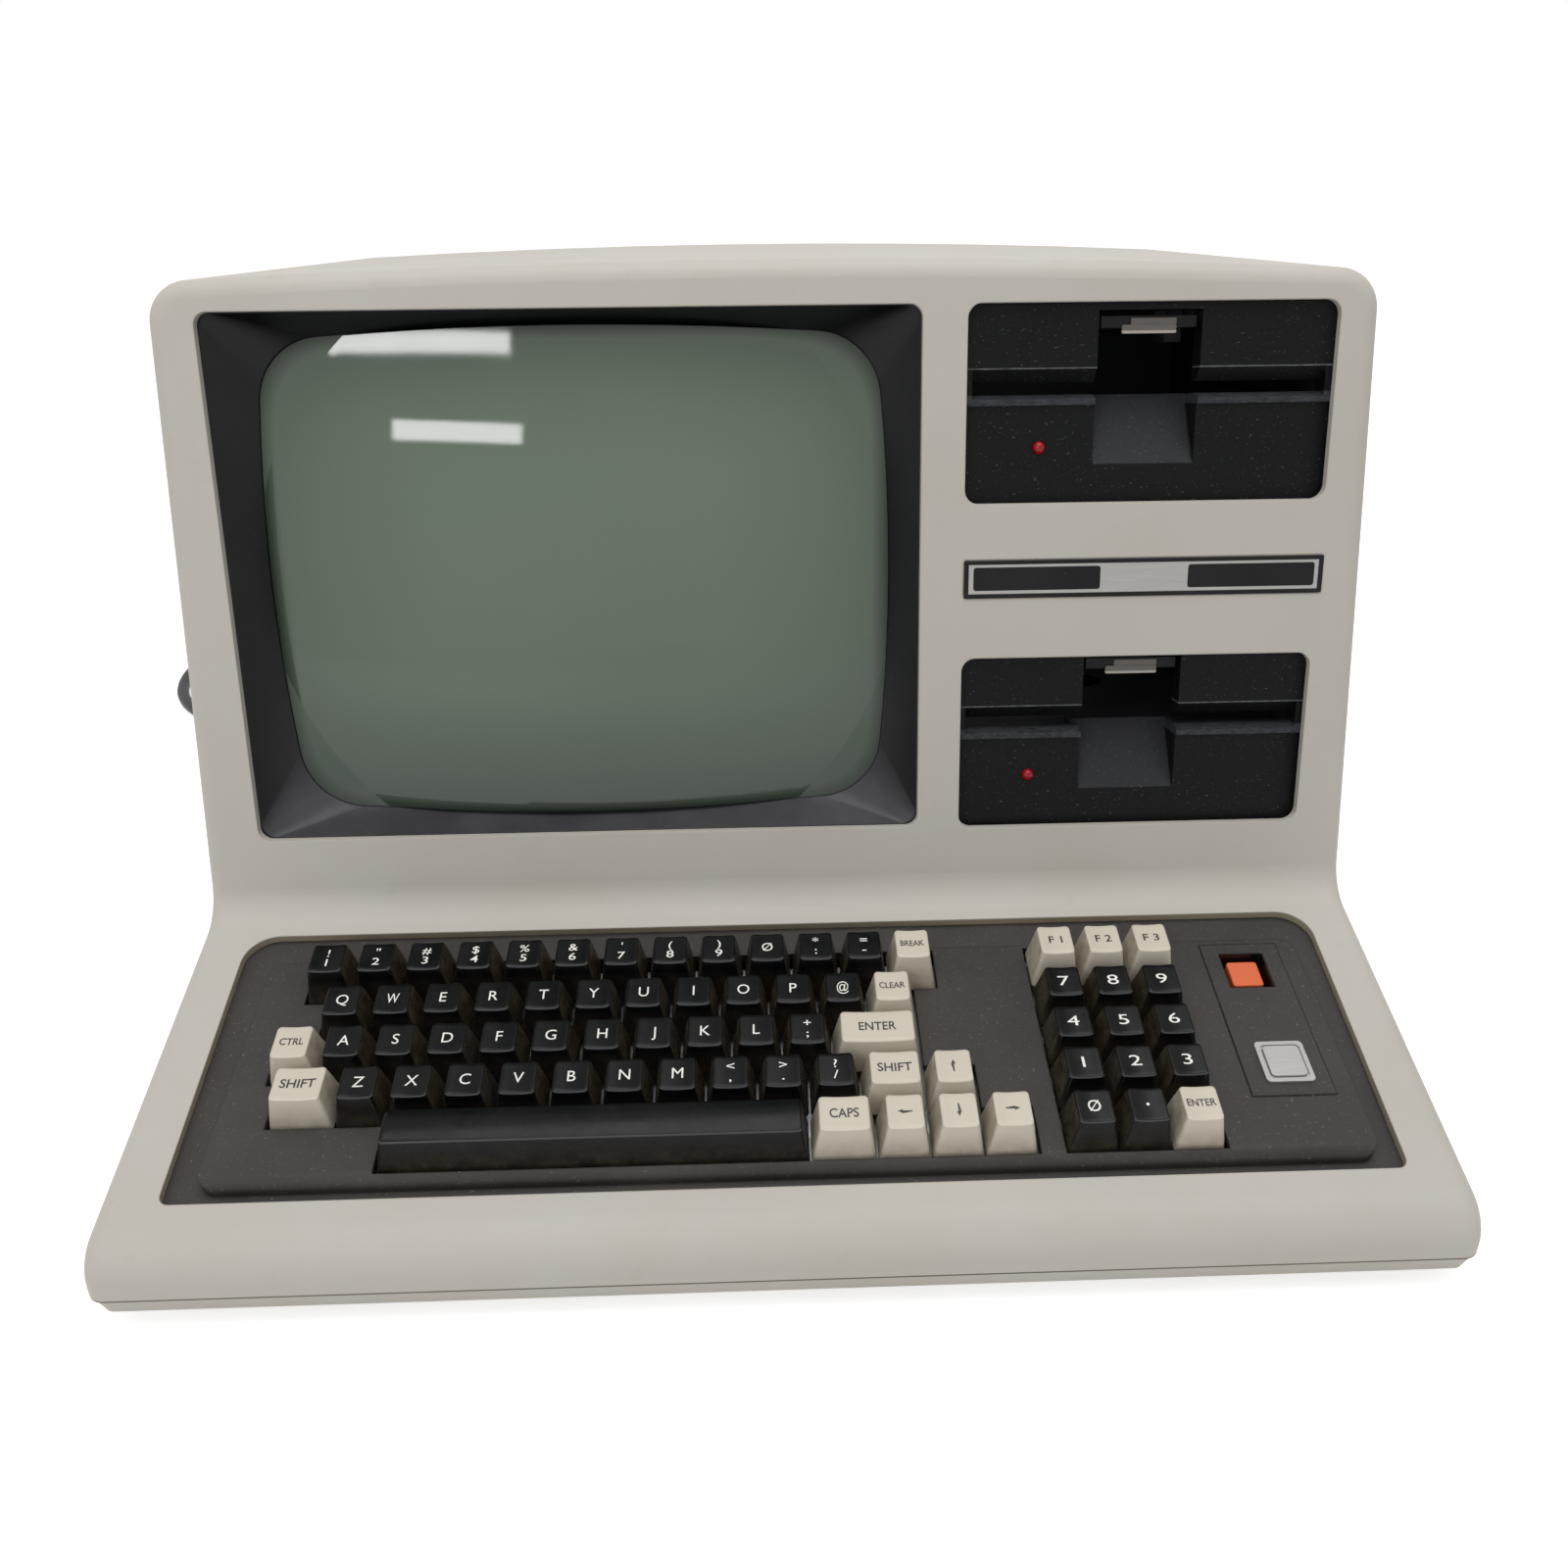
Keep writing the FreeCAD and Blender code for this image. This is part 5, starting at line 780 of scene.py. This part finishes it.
def plain_text(words, weight=0.0):
    """Letters as flat triangles, one unit of type high, on their baseline."""
    curve = bpy.data.curves.new("letters", "FONT")
    curve.body = words
    curve.align_x = "CENTER"
    curve.resolution_u = TYPE_STEPS
    curve.offset = weight
    maker = bpy.data.objects.new("letters", curve)
    bpy.context.scene.collection.objects.link(maker)
    bpy.context.view_layer.update()
    mesh = bpy.data.meshes.new_from_object(maker)
    bpy.data.objects.remove(maker)
    bpy.data.curves.remove(curve)
    return mesh


def reach(mesh, axis):
    """Least and greatest place of a mesh along an axis."""
    values = [v.co[axis] for v in mesh.vertices]
    return min(values), max(values)


capital = plain_text("H")
CAPITAL = reach(capital, 1)[1]
bpy.data.meshes.remove(capital)
print("capitals are", round(CAPITAL, 3), "of the type size")


def text_mesh(words, height, width=None, lift=0.0, weight=0.0, widen=1.0, widest=None):
    """One line of letters, its capitals height tall and centred about lift."""
    mesh = plain_text(words, weight)
    left, right = reach(mesh, 0)
    scale_y = height / CAPITAL
    scale_x = width / (right - left) if width else scale_y * widen
    if widest:
        scale_x = min(scale_x, widest / (right - left))
    for v in mesh.vertices:
        v.co = Vector(((v.co.x - (left + right) / 2) * scale_x, (v.co.y - CAPITAL / 2) * scale_y + lift, 0))
    return mesh

# %% [markdown]
# ## Arrows, and laying a legend on its cap
# An arrow is simple enough to draw by its corners, in millimetres, as a triangle on a thin bar. A flat legend
# is cut finer, each of its points goes to the cap's own surface, and all of it stands a hair above the plastic.
# A shrinkwrap modifier could lay it down too, but the cap's surface is known exactly, so this is simpler.

# %% Arrows and legends
ARROW = [(-2.65, -0.22), (0.7, -0.22), (0.7, -0.85), (2.65, 0), (0.7, 0.85), (0.7, 0.22), (-2.65, 0.22)]


def arrow_mesh(way):
    """A thin arrow with a small solid head, turned by quarter turns from the right."""
    bm = bmesh.new()
    turn = Matrix.Rotation(way * math.pi / 2, 3, "Z")
    bm.faces.new([bm.verts.new(turn @ Vector((x, y, 0)) * MM) for x, y in ARROW])
    bmesh.ops.triangulate(bm, faces=bm.faces)
    return mesh_from(bm, "arrow")


def letter_legends(word, height):
    """Flat meshes of one black key's legend: a sign over a digit, a dot, or one letter."""
    if "\n" in word:
        over, under = word.split("\n")
        return [text_mesh(over, PAIR_HIGH, None, PAIR_PITCH / 2, SIGN_WEIGHT, SIGN_WIDE),
                text_mesh(under, PAIR_HIGH, None, -PAIR_PITCH / 2, SIGN_WEIGHT, PAIR_DIGIT_WIDE)]
    if word == "•":
        return [text_mesh(word, DOT_HIGH)]
    if word.isdigit():
        return [text_mesh(word, height, widen=DIGIT_WIDE)]
    return [text_mesh(word, height, widest=LETTER_WIDE)]


def lay_on(bm, cap, flat):
    """Lay a flat legend on a cap's top."""
    part = bmesh.new()
    part.from_mesh(flat)
    bpy.data.meshes.remove(flat)
    bmesh.ops.subdivide_edges(part, edges=part.edges, cuts=1)
    for v in part.verts:
        v.co.z = cap.surface(v.co.x, v.co.y) + PAINT_LIFT
    bmesh.ops.translate(part, vec=(0, KEY_TOP_BACK, 0), verts=part.verts)
    bmesh.ops.transform(part, matrix=KEYS @ cap.place, verts=part.verts)
    pour(bm, part)


print("an arrow has", len(ARROW), "corners and is", round(ARROW[3][0] - ARROW[0][0], 1), "mm long")

# %% [markdown]
# ## Which keys there are
# The black keys of a row share one body each in the frame, and the cream keys have a body of their own, so the
# tables follow the frame's names. Columns are counted in key pitches from the first column of the main keys or
# of the number pad, as a keyboard's drawing gives them.

# %% Tables of the keys
MAIN_COLUMN = -177.98 * MM
PAD_COLUMN = 107.6 * MM
NUMBER_SIGNS = ["!\n1", "\"\n2", "#\n3", "$\n4", "%\n5", "&\n6", "'\n7", "(\n8", ")\n9", "Ø", "*\n:", "=\n-"]
# Body: start of its columns, height of its legends, then row, first column and legends of each run
BLACK_ROWS = {
    "number_row_keys": (MAIN_COLUMN, NUMBER_HIGH, [(0, 0, NUMBER_SIGNS)]),
    "upper_row_keys": (MAIN_COLUMN, LETTER_HIGH, [(1, 0.5, list("QWERTYUIOP@"))]),
    "home_row_keys": (MAIN_COLUMN, LETTER_HIGH, [(2, 0.75, list("ASDFGHJKL") + ["+\n;"])]),
    "lower_row_keys": (MAIN_COLUMN, LETTER_HIGH, [(3, 1.25, list("ZXCVBNM") + ["<\n,", ">\n.", "?\n/"])]),
    "keypad_digit_keys": (PAD_COLUMN, DIGIT_HIGH, [(1, 0, list("789")), (2, 0, list("456")), (3, 0, list("123")),
                                                   (4, 0, ["Ø", "•"])]),
}
# Body: start of its columns, row, column, width in pitches, then a word with its height and width in millimetres,
# or the quarter turns of its arrow
SINGLE_KEYS = {
    "break_key": (MAIN_COLUMN, 0, 12, 1, ("BREAK", 2.7, 9.3)),
    "clear_key": (MAIN_COLUMN, 1, 11.5, 1, ("CLEAR", 2.7, 9.9)),
    "enter_key": (MAIN_COLUMN, 2, 11.125, 1.75, ("ENTER", 3.6, 14.0)),
    "control_key": (MAIN_COLUMN, 2, -0.25, 1, ("CTRL", 2.9, 8.8)),
    "left_shift_key": (MAIN_COLUMN, 3, 0.125, 1.25, ("SHIFT", 3.5, 12.6)),
    "right_shift_key": (MAIN_COLUMN, 3, 11.375, 1.25, ("SHIFT", 3.5, 12.6)),
    "caps_key": (MAIN_COLUMN, 4, 10.35, 1.25, ("CAPS", 3.6, 10.4)),
    "f1_key": (PAD_COLUMN, 0, 0, 1, ("F 1", 3.3, 5.4)),
    "f2_key": (PAD_COLUMN, 0, 1, 1, ("F 2", 3.3, 6.4)),
    "f3_key": (PAD_COLUMN, 0, 2, 1, ("F 3", 3.3, 6.4)),
    "keypad_enter_key": (PAD_COLUMN, 4, 2, 1, ("ENTER", 2.8, 10.4)),
    "up_arrow_key": (MAIN_COLUMN, 3, 12.5, 1, 1),
    "left_arrow_key": (MAIN_COLUMN, 4, 11.475, 1, 2),
    "down_arrow_key": (MAIN_COLUMN, 4, 12.475, 1, 3),
    "right_arrow_key": (MAIN_COLUMN, 4, 13.475, 1, 0),
    "space_bar": (MAIN_COLUMN, 4, 5.725, 8, None),
}
print(len(BLACK_ROWS), "rows of black keys and", len(SINGLE_KEYS), "single keys")

# %% [markdown]
# ## Making the keys
# Legends are screen printed, so the ink lies on the plastic and wears thin under fingers. The caps of a row
# move together, so one loop pours them into one mesh, and a second loop makes the single keys. Each mesh
# replaces the plain solid of its body, and its legend rides with it.

# %% Caps with their legends
KEY_SHARP = math.radians(50)


def printed_ink(name, colour):
    """Screen printed ink, worn through in places."""
    made = Finish(name)
    worn = made.patches(0.8 * MM, 0.62, 0.72, 0, 0.35, 3, 0.7)
    return made.set(Base_Color=made.layered(colour, (worn, "8A857C")), Roughness=0.45,
                    Normal=made.skin(0.3 * MM, 0.01 * MM, 0.5))


white_ink = printed_ink("white_legend_ink", "E6E4DE")
dark_ink = printed_ink("dark_legend_ink", "2C2926")


def finish_keys(node, caps, legends, black):
    """Turn the caps and legends of one body into pieces that replace its plain solid."""
    cap_name = node.replace("_key", "_cap") if "_key" in node else node + "_cap"
    cap_finish = black_key_finish if black else cream_key_finish
    shell = piece(cap_name, mesh_from(caps, node), cap_finish, node)
    shell.data.set_sharp_from_angle(angle=KEY_SHARP)
    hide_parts(node)
    if len(legends.verts):
        name = node.replace("_keys", "").replace("_key", "") + "_legend"
        piece(name, mesh_from(legends, name), white_ink if black else dark_ink, node, False)


for node, (start, high, runs) in BLACK_ROWS.items():
    caps, legends = bmesh.new(), bmesh.new()
    for row, column, words in runs:
        for i, word in enumerate(words):
            cap = Cap(row, start + (column + i) * KEY_PITCH, 1)
            pour(caps, keycap(cap))
            for flat in letter_legends(word, high):
                lay_on(legends, cap, flat)
    finish_keys(node, caps, legends, True)

for node, (start, row, column, size, legend) in SINGLE_KEYS.items():
    cap = Cap(row, start + column * KEY_PITCH, size)
    legends = bmesh.new()
    if isinstance(legend, tuple):
        lay_on(legends, cap, text_mesh(legend[0], legend[1] * MM, legend[2] * MM, weight=WORD_WEIGHT))
    elif legend is not None:
        lay_on(legends, cap, arrow_mesh(legend))
    finish_keys(node, keycap(cap), legends, cap.is_bar)

# %% [markdown]
# ## A thin rounded plate
# Printed panels, a printed border and the pale lips of the levers are all thin rounded plates that lie on the
# face. One rounded rectangle does for every one: a flat grid of one face, with its corners bevelled and its
# face extruded by a hair, then stood up on the face.


# %% Thin plates on the face
PLATE_STEPS = 5


def thin_plate(bm, x0, x1, z0, z1, corner, depth, lift):
    """Add a rounded plate that stands upright on the face, lifted from a depth."""
    part = bmesh.new()
    bmesh.ops.create_grid(part, x_segments=1, y_segments=1, size=0.5)
    bmesh.ops.scale(part, vec=(x1 - x0, z1 - z0, 1), verts=part.verts)
    bmesh.ops.bevel(part, geom=part.verts[:], offset=corner, segments=PLATE_STEPS, affect="VERTICES", profile=0.5,
                    material=-1)
    made = bmesh.ops.extrude_face_region(part, geom=part.faces[:])
    front = [grown for grown in made["geom"] if isinstance(grown, bmesh.types.BMVert)]
    bmesh.ops.translate(part, vec=(0, 0, lift), verts=front)
    bmesh.ops.recalc_face_normals(part, faces=part.faces)
    place = Matrix.Translation(((x0 + x1) / 2, depth, (z0 + z1) / 2))
    bmesh.ops.transform(part, matrix=FACE @ place @ Matrix.Rotation(math.pi / 2, 4, "X"), verts=part.verts)
    pour(bm, part)


print("a thin plate turns each corner in", PLATE_STEPS, "steps")

# %% [markdown]
# ## The nameplate's print
# Between the drives sits a brushed plate, printed with a black border and two dark panels. Ink could be a
# pattern in the plate's finish, but as thin plates its edges stay sharp and its rounded corners are easy to
# set.

# %% Panels and border of the nameplate
PLATE_LEFT = 74.3 * MM
PLATE_RIGHT = 217.6 * MM
PLATE_LOW = 125.6 * MM
PLATE_HIGH = 140.4 * MM
PLATE_FRONT = -0.4 * MM
PRINT_LIFT = 0.05 * MM
PANEL_SPANS = ((3.7 * MM, 54.2 * MM), (89.2 * MM, 139.9 * MM))
PANEL_FOOT = 2.9 * MM
PANEL_HEAD = 2.7 * MM
PANEL_CORNER = 1.1 * MM
BORDER_HIGH = 1.6 * MM
BORDER_WIDE = 1.8 * MM
BORDER_CORNER = 0.2 * MM

panels = bmesh.new()
for x0, x1 in PANEL_SPANS:
    thin_plate(panels, PLATE_LEFT + x0, PLATE_LEFT + x1, PLATE_LOW + PANEL_FOOT, PLATE_HIGH - PANEL_HEAD,
               PANEL_CORNER, PLATE_FRONT, PRINT_LIFT)
piece("nameplate_panels", mesh_from(panels, "nameplate_panels"), plate_ink, BODY, False)

border = bmesh.new()
inner_low = PLATE_LOW + BORDER_HIGH
inner_high = PLATE_HIGH - BORDER_HIGH
for x0, x1, z0, z1 in ((PLATE_LEFT, PLATE_RIGHT, inner_high, PLATE_HIGH),
                       (PLATE_LEFT, PLATE_RIGHT, PLATE_LOW, inner_low),
                       (PLATE_LEFT, PLATE_LEFT + BORDER_WIDE, inner_low, inner_high),
                       (PLATE_RIGHT - BORDER_WIDE, PLATE_RIGHT, inner_low, inner_high)):
    thin_plate(border, x0, x1, z0, z1, BORDER_CORNER, PLATE_FRONT, 2 * PRINT_LIFT)
piece("nameplate_border", mesh_from(border, "nameplate_border"), plate_ink, BODY, False)

# %% [markdown]
# ## The levers' lips
# Each drive's lever has a pale lip for the fingertip, in two steps. The lever itself is a solid of the frame,
# so the lip is laid on its front and rides with it when it turns.

# %% Lips of the levers
LIP_LEFT = 134.0 * MM
LIP_RIGHT = 155.0 * MM
LIP_FRONT = 6.5 * MM
LIP_TOP = 73.0 * MM
LIP_STEP = 70.6 * MM
LIP_LOW = 67.4 * MM
LIP_IN = 3.5 * MM
LIP_GROWS = 0.25 * MM
UPPER_CORNER = 0.5 * MM
LOWER_CORNER = 0.6 * MM

lip_finish = bright_edged_lip("bright_edged_lever_lip", "5C5853", "A9A39B")
for side, base in zip(("upper", "lower"), DRIVE_BASES):
    lip = bmesh.new()
    thin_plate(lip, LIP_LEFT + LIP_IN, LIP_RIGHT, base + LIP_STEP, base + LIP_TOP,
               UPPER_CORNER, LIP_FRONT, LIP_GROWS)
    thin_plate(lip, LIP_LEFT, LIP_RIGHT, base + LIP_LOW, base + LIP_STEP,
               LOWER_CORNER, LIP_FRONT, 2 * LIP_GROWS)
    name = side + "_lever_lip"
    piece(name, mesh_from(lip, name), lip_finish, side + "_drive_lever", False)

# %% [markdown]
# ## The mains lead
# The lead is a round jacket, 7.6 mm thick and 1.78 m long, that leaves the rear wall, drops to the table, makes
# one loose loop beside the case and lies coiled behind it. A tube along a smooth curve is the natural way to
# make it. The loop's points are the ones that the frame's own lead runs along. The coil is worked out in half
# turns, each a little smaller than the last, then up one step and outwards again on top.

# %% Route of the mains lead
CORD_RADIUS = 3.8 * MM
CORD_DIAMETER = 2 * CORD_RADIUS
CORD_EXIT = Vector((-200.0 * MM, REAR_Y + 31.7 * MM, 45 * MM))
# Points along the table in millimetres, from the strain relief round the loop to the start of the coil
ROUTE_MM = (
    (-208, 333, 32), (-232, 358, 12), (-268, 371, 3.8), (-315, 373, 3.8), (-360, 355, 3.8), (-393, 319, 3.8),
    (-406, 278, 3.8), (-401, 236, 3.8), (-378, 203, 3.8), (-343, 185, 3.8), (-308, 196, 3.8), (-290, 228, 3.8),
    (-272, 278, 3.8), (-243, 311, 3.8), (-200, 321, 3.8), (-156, 322.25, 3.8),
)
COIL_CENTRE = Vector((-110 * MM, 373.25 * MM, 0))
COIL_REACH = 51 * MM
COIL_PITCH = 8.2 * MM
COIL_HALVES_IN = 4
COIL_HALVES_OUT = 3
COIL_STEPS = 8
TAIL_LONG = 36 * MM


def coil_points():
    """Points round the coil: in on the floor, up in one half turn, out on top."""
    points = []
    y = COIL_CENTRE.y - COIL_REACH
    radius = COIL_REACH - COIL_PITCH / 4
    level = CORD_RADIUS
    way = 1
    for half in range(COIL_HALVES_IN + 1 + COIL_HALVES_OUT):
        centre_y = y + way * radius
        climb = COIL_PITCH if half == COIL_HALVES_IN else 0
        for step in range(COIL_STEPS):
            angle = math.pi * step / COIL_STEPS
            share = step / COIL_STEPS
            points.append(Vector((COIL_CENTRE.x + way * radius * math.sin(angle),
                                  centre_y - way * radius * math.cos(angle),
                                  level + climb * share * share * (3 - 2 * share))))
        y += way * 2 * radius
        level += climb
        way = -way
        radius += COIL_PITCH / 2 if half >= COIL_HALVES_IN else -COIL_PITCH / 2
    tail = (0, TAIL_LONG / 2, CORD_DIAMETER + TAIL_LONG)
    return points + [Vector((COIL_CENTRE.x + onward, y, level)) for onward in tail]


route = [CORD_EXIT] + [Vector(p) * MM for p in ROUTE_MM] + coil_points()
run = sum((b - a).length for a, b in zip(route, route[1:]))
print("the route has", len(route), "points and is about", round(run, 2), "m long")

# %% [markdown]
# ## The lead's tube
# A curve with a round bevel is a tube of one thickness all along, which is what a moulded jacket is. A NURBS
# spline runs smoothly near its points without a bend at any of them.

# %% The lead's tube
curve = bpy.data.curves.new("mains_lead", "CURVE")
curve.dimensions = "3D"
curve.bevel_depth = CORD_RADIUS
curve.bevel_resolution = 4
curve.use_fill_caps = True
spline = curve.splines.new("NURBS")
spline.points.add(len(route) - 1)
for point, place in zip(spline.points, route):
    point.co = (*place, 1)
spline.order_u = 3
spline.use_endpoint_u = True
spline.resolution_u = 6
curve.materials.append(jacket_finish)
lead = bpy.data.objects.new("mains_lead", curve)
bpy.context.scene.collection.objects.link(lead)
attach(lead, BODY)
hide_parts("power_cord", "cord_coil")

# %% [markdown]
# ## A white studio
# Product photographs stand on white paper under soft light. The paper and the world look white to the camera
# and to mirrors, but light the object only as much as plain walls would: the Light Path node tells these rays
# apart. So the background stays white while the case keeps its own colour, and its shadow stays on the paper.

# %% Floor and world
FLOOR_REACH = 6.0
FLOOR_GLOW = 0.58
WORLD_LEVEL = 0.5


def seen_directly(tree):
    """One for rays from the camera, a mirror or clear glass, nought for rays that light things."""
    path = add_node(tree, "LightPath").node
    share = path.outputs["Is Camera Ray"]
    for name in ("Is Glossy Ray", "Is Transmission Ray"):
        share = add_node(tree, "Math", {0: share, 1: path.outputs[name]}, operation="MAXIMUM")
    return share


paper = Finish("white_studio_paper")
shade = paper.patches(0.4, 0.3, 0.7)
paper.set(Base_Color=paper.layered("F4F4F4", (shade, "F1F1F0")), Roughness=0.9, Emission_Color=linear("FFFFFF"),
          Emission_Strength=paper.overlap(seen_directly(paper.tree), FLOOR_GLOW))
ground = bmesh.new()
bmesh.ops.create_grid(ground, x_segments=1, y_segments=1, size=FLOOR_REACH)
floor = bpy.data.objects.new("studio_floor", mesh_from(ground, "studio_floor"))
floor.data.materials.append(paper.material)
bpy.context.scene.collection.objects.link(floor)

world = bpy.data.worlds.new("studio")
bpy.context.scene.world = world
world.use_nodes = True
tree = world.node_tree
light = tree.nodes["Background"]
light.inputs["Color"].default_value = linear("F7F7F7")
light.inputs["Strength"].default_value = WORLD_LEVEL
white = add_node(tree, "Background", {"Color": linear("FFFFFF")})
choice = add_node(tree, "MixShader", {0: seen_directly(tree), 1: light.outputs[0], 2: white})
tree.links.new(choice, tree.nodes["World Output"].inputs["Surface"])
print("floor", 2 * FLOOR_REACH, "m wide, world at", WORLD_LEVEL)

# %% [markdown]
# ## Lights
# A large soft lamp overhead gives the deck its brightness, and a weak one in front fills the face. Two long
# ceiling lamps stand where the screen mirrors them, as pale bars near its upper left corner. Their energy is
# worked out from how bright they should look, because a lamp's brightness is its power shared over its area.


# %% Softboxes and ceiling strips
def area_light(name, place, target, size, power, across=None):
    """A rectangular lamp that looks at a target, turned so that its width lies along across."""
    light = bpy.data.lights.new(name, "AREA")
    light.shape = "RECTANGLE"
    light.size, light.size_y = size
    light.energy = power
    lamp = bpy.data.objects.new(name, light)
    bpy.context.scene.collection.objects.link(lamp)
    back = (Vector(place) - Vector(target)).normalized()
    turn = back.to_track_quat("Z", "Y").to_matrix()
    if across:
        side = Vector(across)
        side = (side - back * side.dot(back)).normalized()
        turn = Matrix((side, back.cross(side), back)).transposed()
    lamp.matrix_world = Matrix.Translation(place) @ turn.to_4x4()
    print(name, "gives", round(power, 1), "W")
    return lamp


def strip_light(name, place, target, across, size, radiance):
    """A long lamp whose mirror image is as bright as radiance."""
    return area_light(name, place, target, size, radiance * math.pi * size[0] * size[1], across)


OVERHEAD_POWER = 21
FRONT_POWER = 4.4
UPPER_RADIANCE = 17
LOWER_RADIANCE = 15

area_light("overhead_softbox", (0.1, -0.2, 1.9), (0, 0, 0.1), (1.6, 1.2), OVERHEAD_POWER)
front_fill = area_light("front_softbox", (-1.1, -1.7, 1.5), (0, 0, 0.15), (1.0, 1.0), FRONT_POWER)
front_fill.visible_glossy = False
strip_light("upper_strip", (-1.029, -1.823, 1.394), (-0.135, -0.058, 0.285), (0.927, -0.35, 0.136),
            (0.826, 0.072), UPPER_RADIANCE)
strip_light("lower_strip", (-0.908, -2.047, 1.081), (-0.122, -0.070, 0.256), (0.944, -0.324, 0.061),
            (0.615, 0.090), LOWER_RADIANCE)

# %% [markdown]
# ## Camera
# The machine is seen from a little left of its middle, from above, with a wide lens close by, which spreads its
# deck. The camera's place and turns were solved from the corners of the screen, the drives and the keyboard.

# %% Camera and view
SENSOR = 36
LENS = 30.205
SHIFT = (-0.00974, -0.01645)
NEAREST = 0.01
EYE_PLACE = (-6.64 * MM, -582.8 * MM, 387.65 * MM)
PAN = math.radians(-2.553)
TILT = math.radians(61.479)
ROLL = math.radians(0.664)

camera = bpy.data.cameras.new("camera")
camera.sensor_width = SENSOR
camera.lens = LENS
camera.shift_x, camera.shift_y = SHIFT
camera.clip_start = NEAREST
eye = bpy.data.objects.new("camera", camera)
bpy.context.scene.collection.objects.link(eye)
turn = Matrix.Rotation(PAN, 4, "Z") @ Matrix.Rotation(TILT, 4, "X") @ Matrix.Rotation(ROLL, 4, "Y")
eye.matrix_world = Matrix.Translation(EYE_PLACE) @ turn
bpy.context.scene.camera = eye
bpy.context.scene.view_settings.view_transform = "Standard"
print("camera lens", camera.lens, "mm")

# %% [markdown]
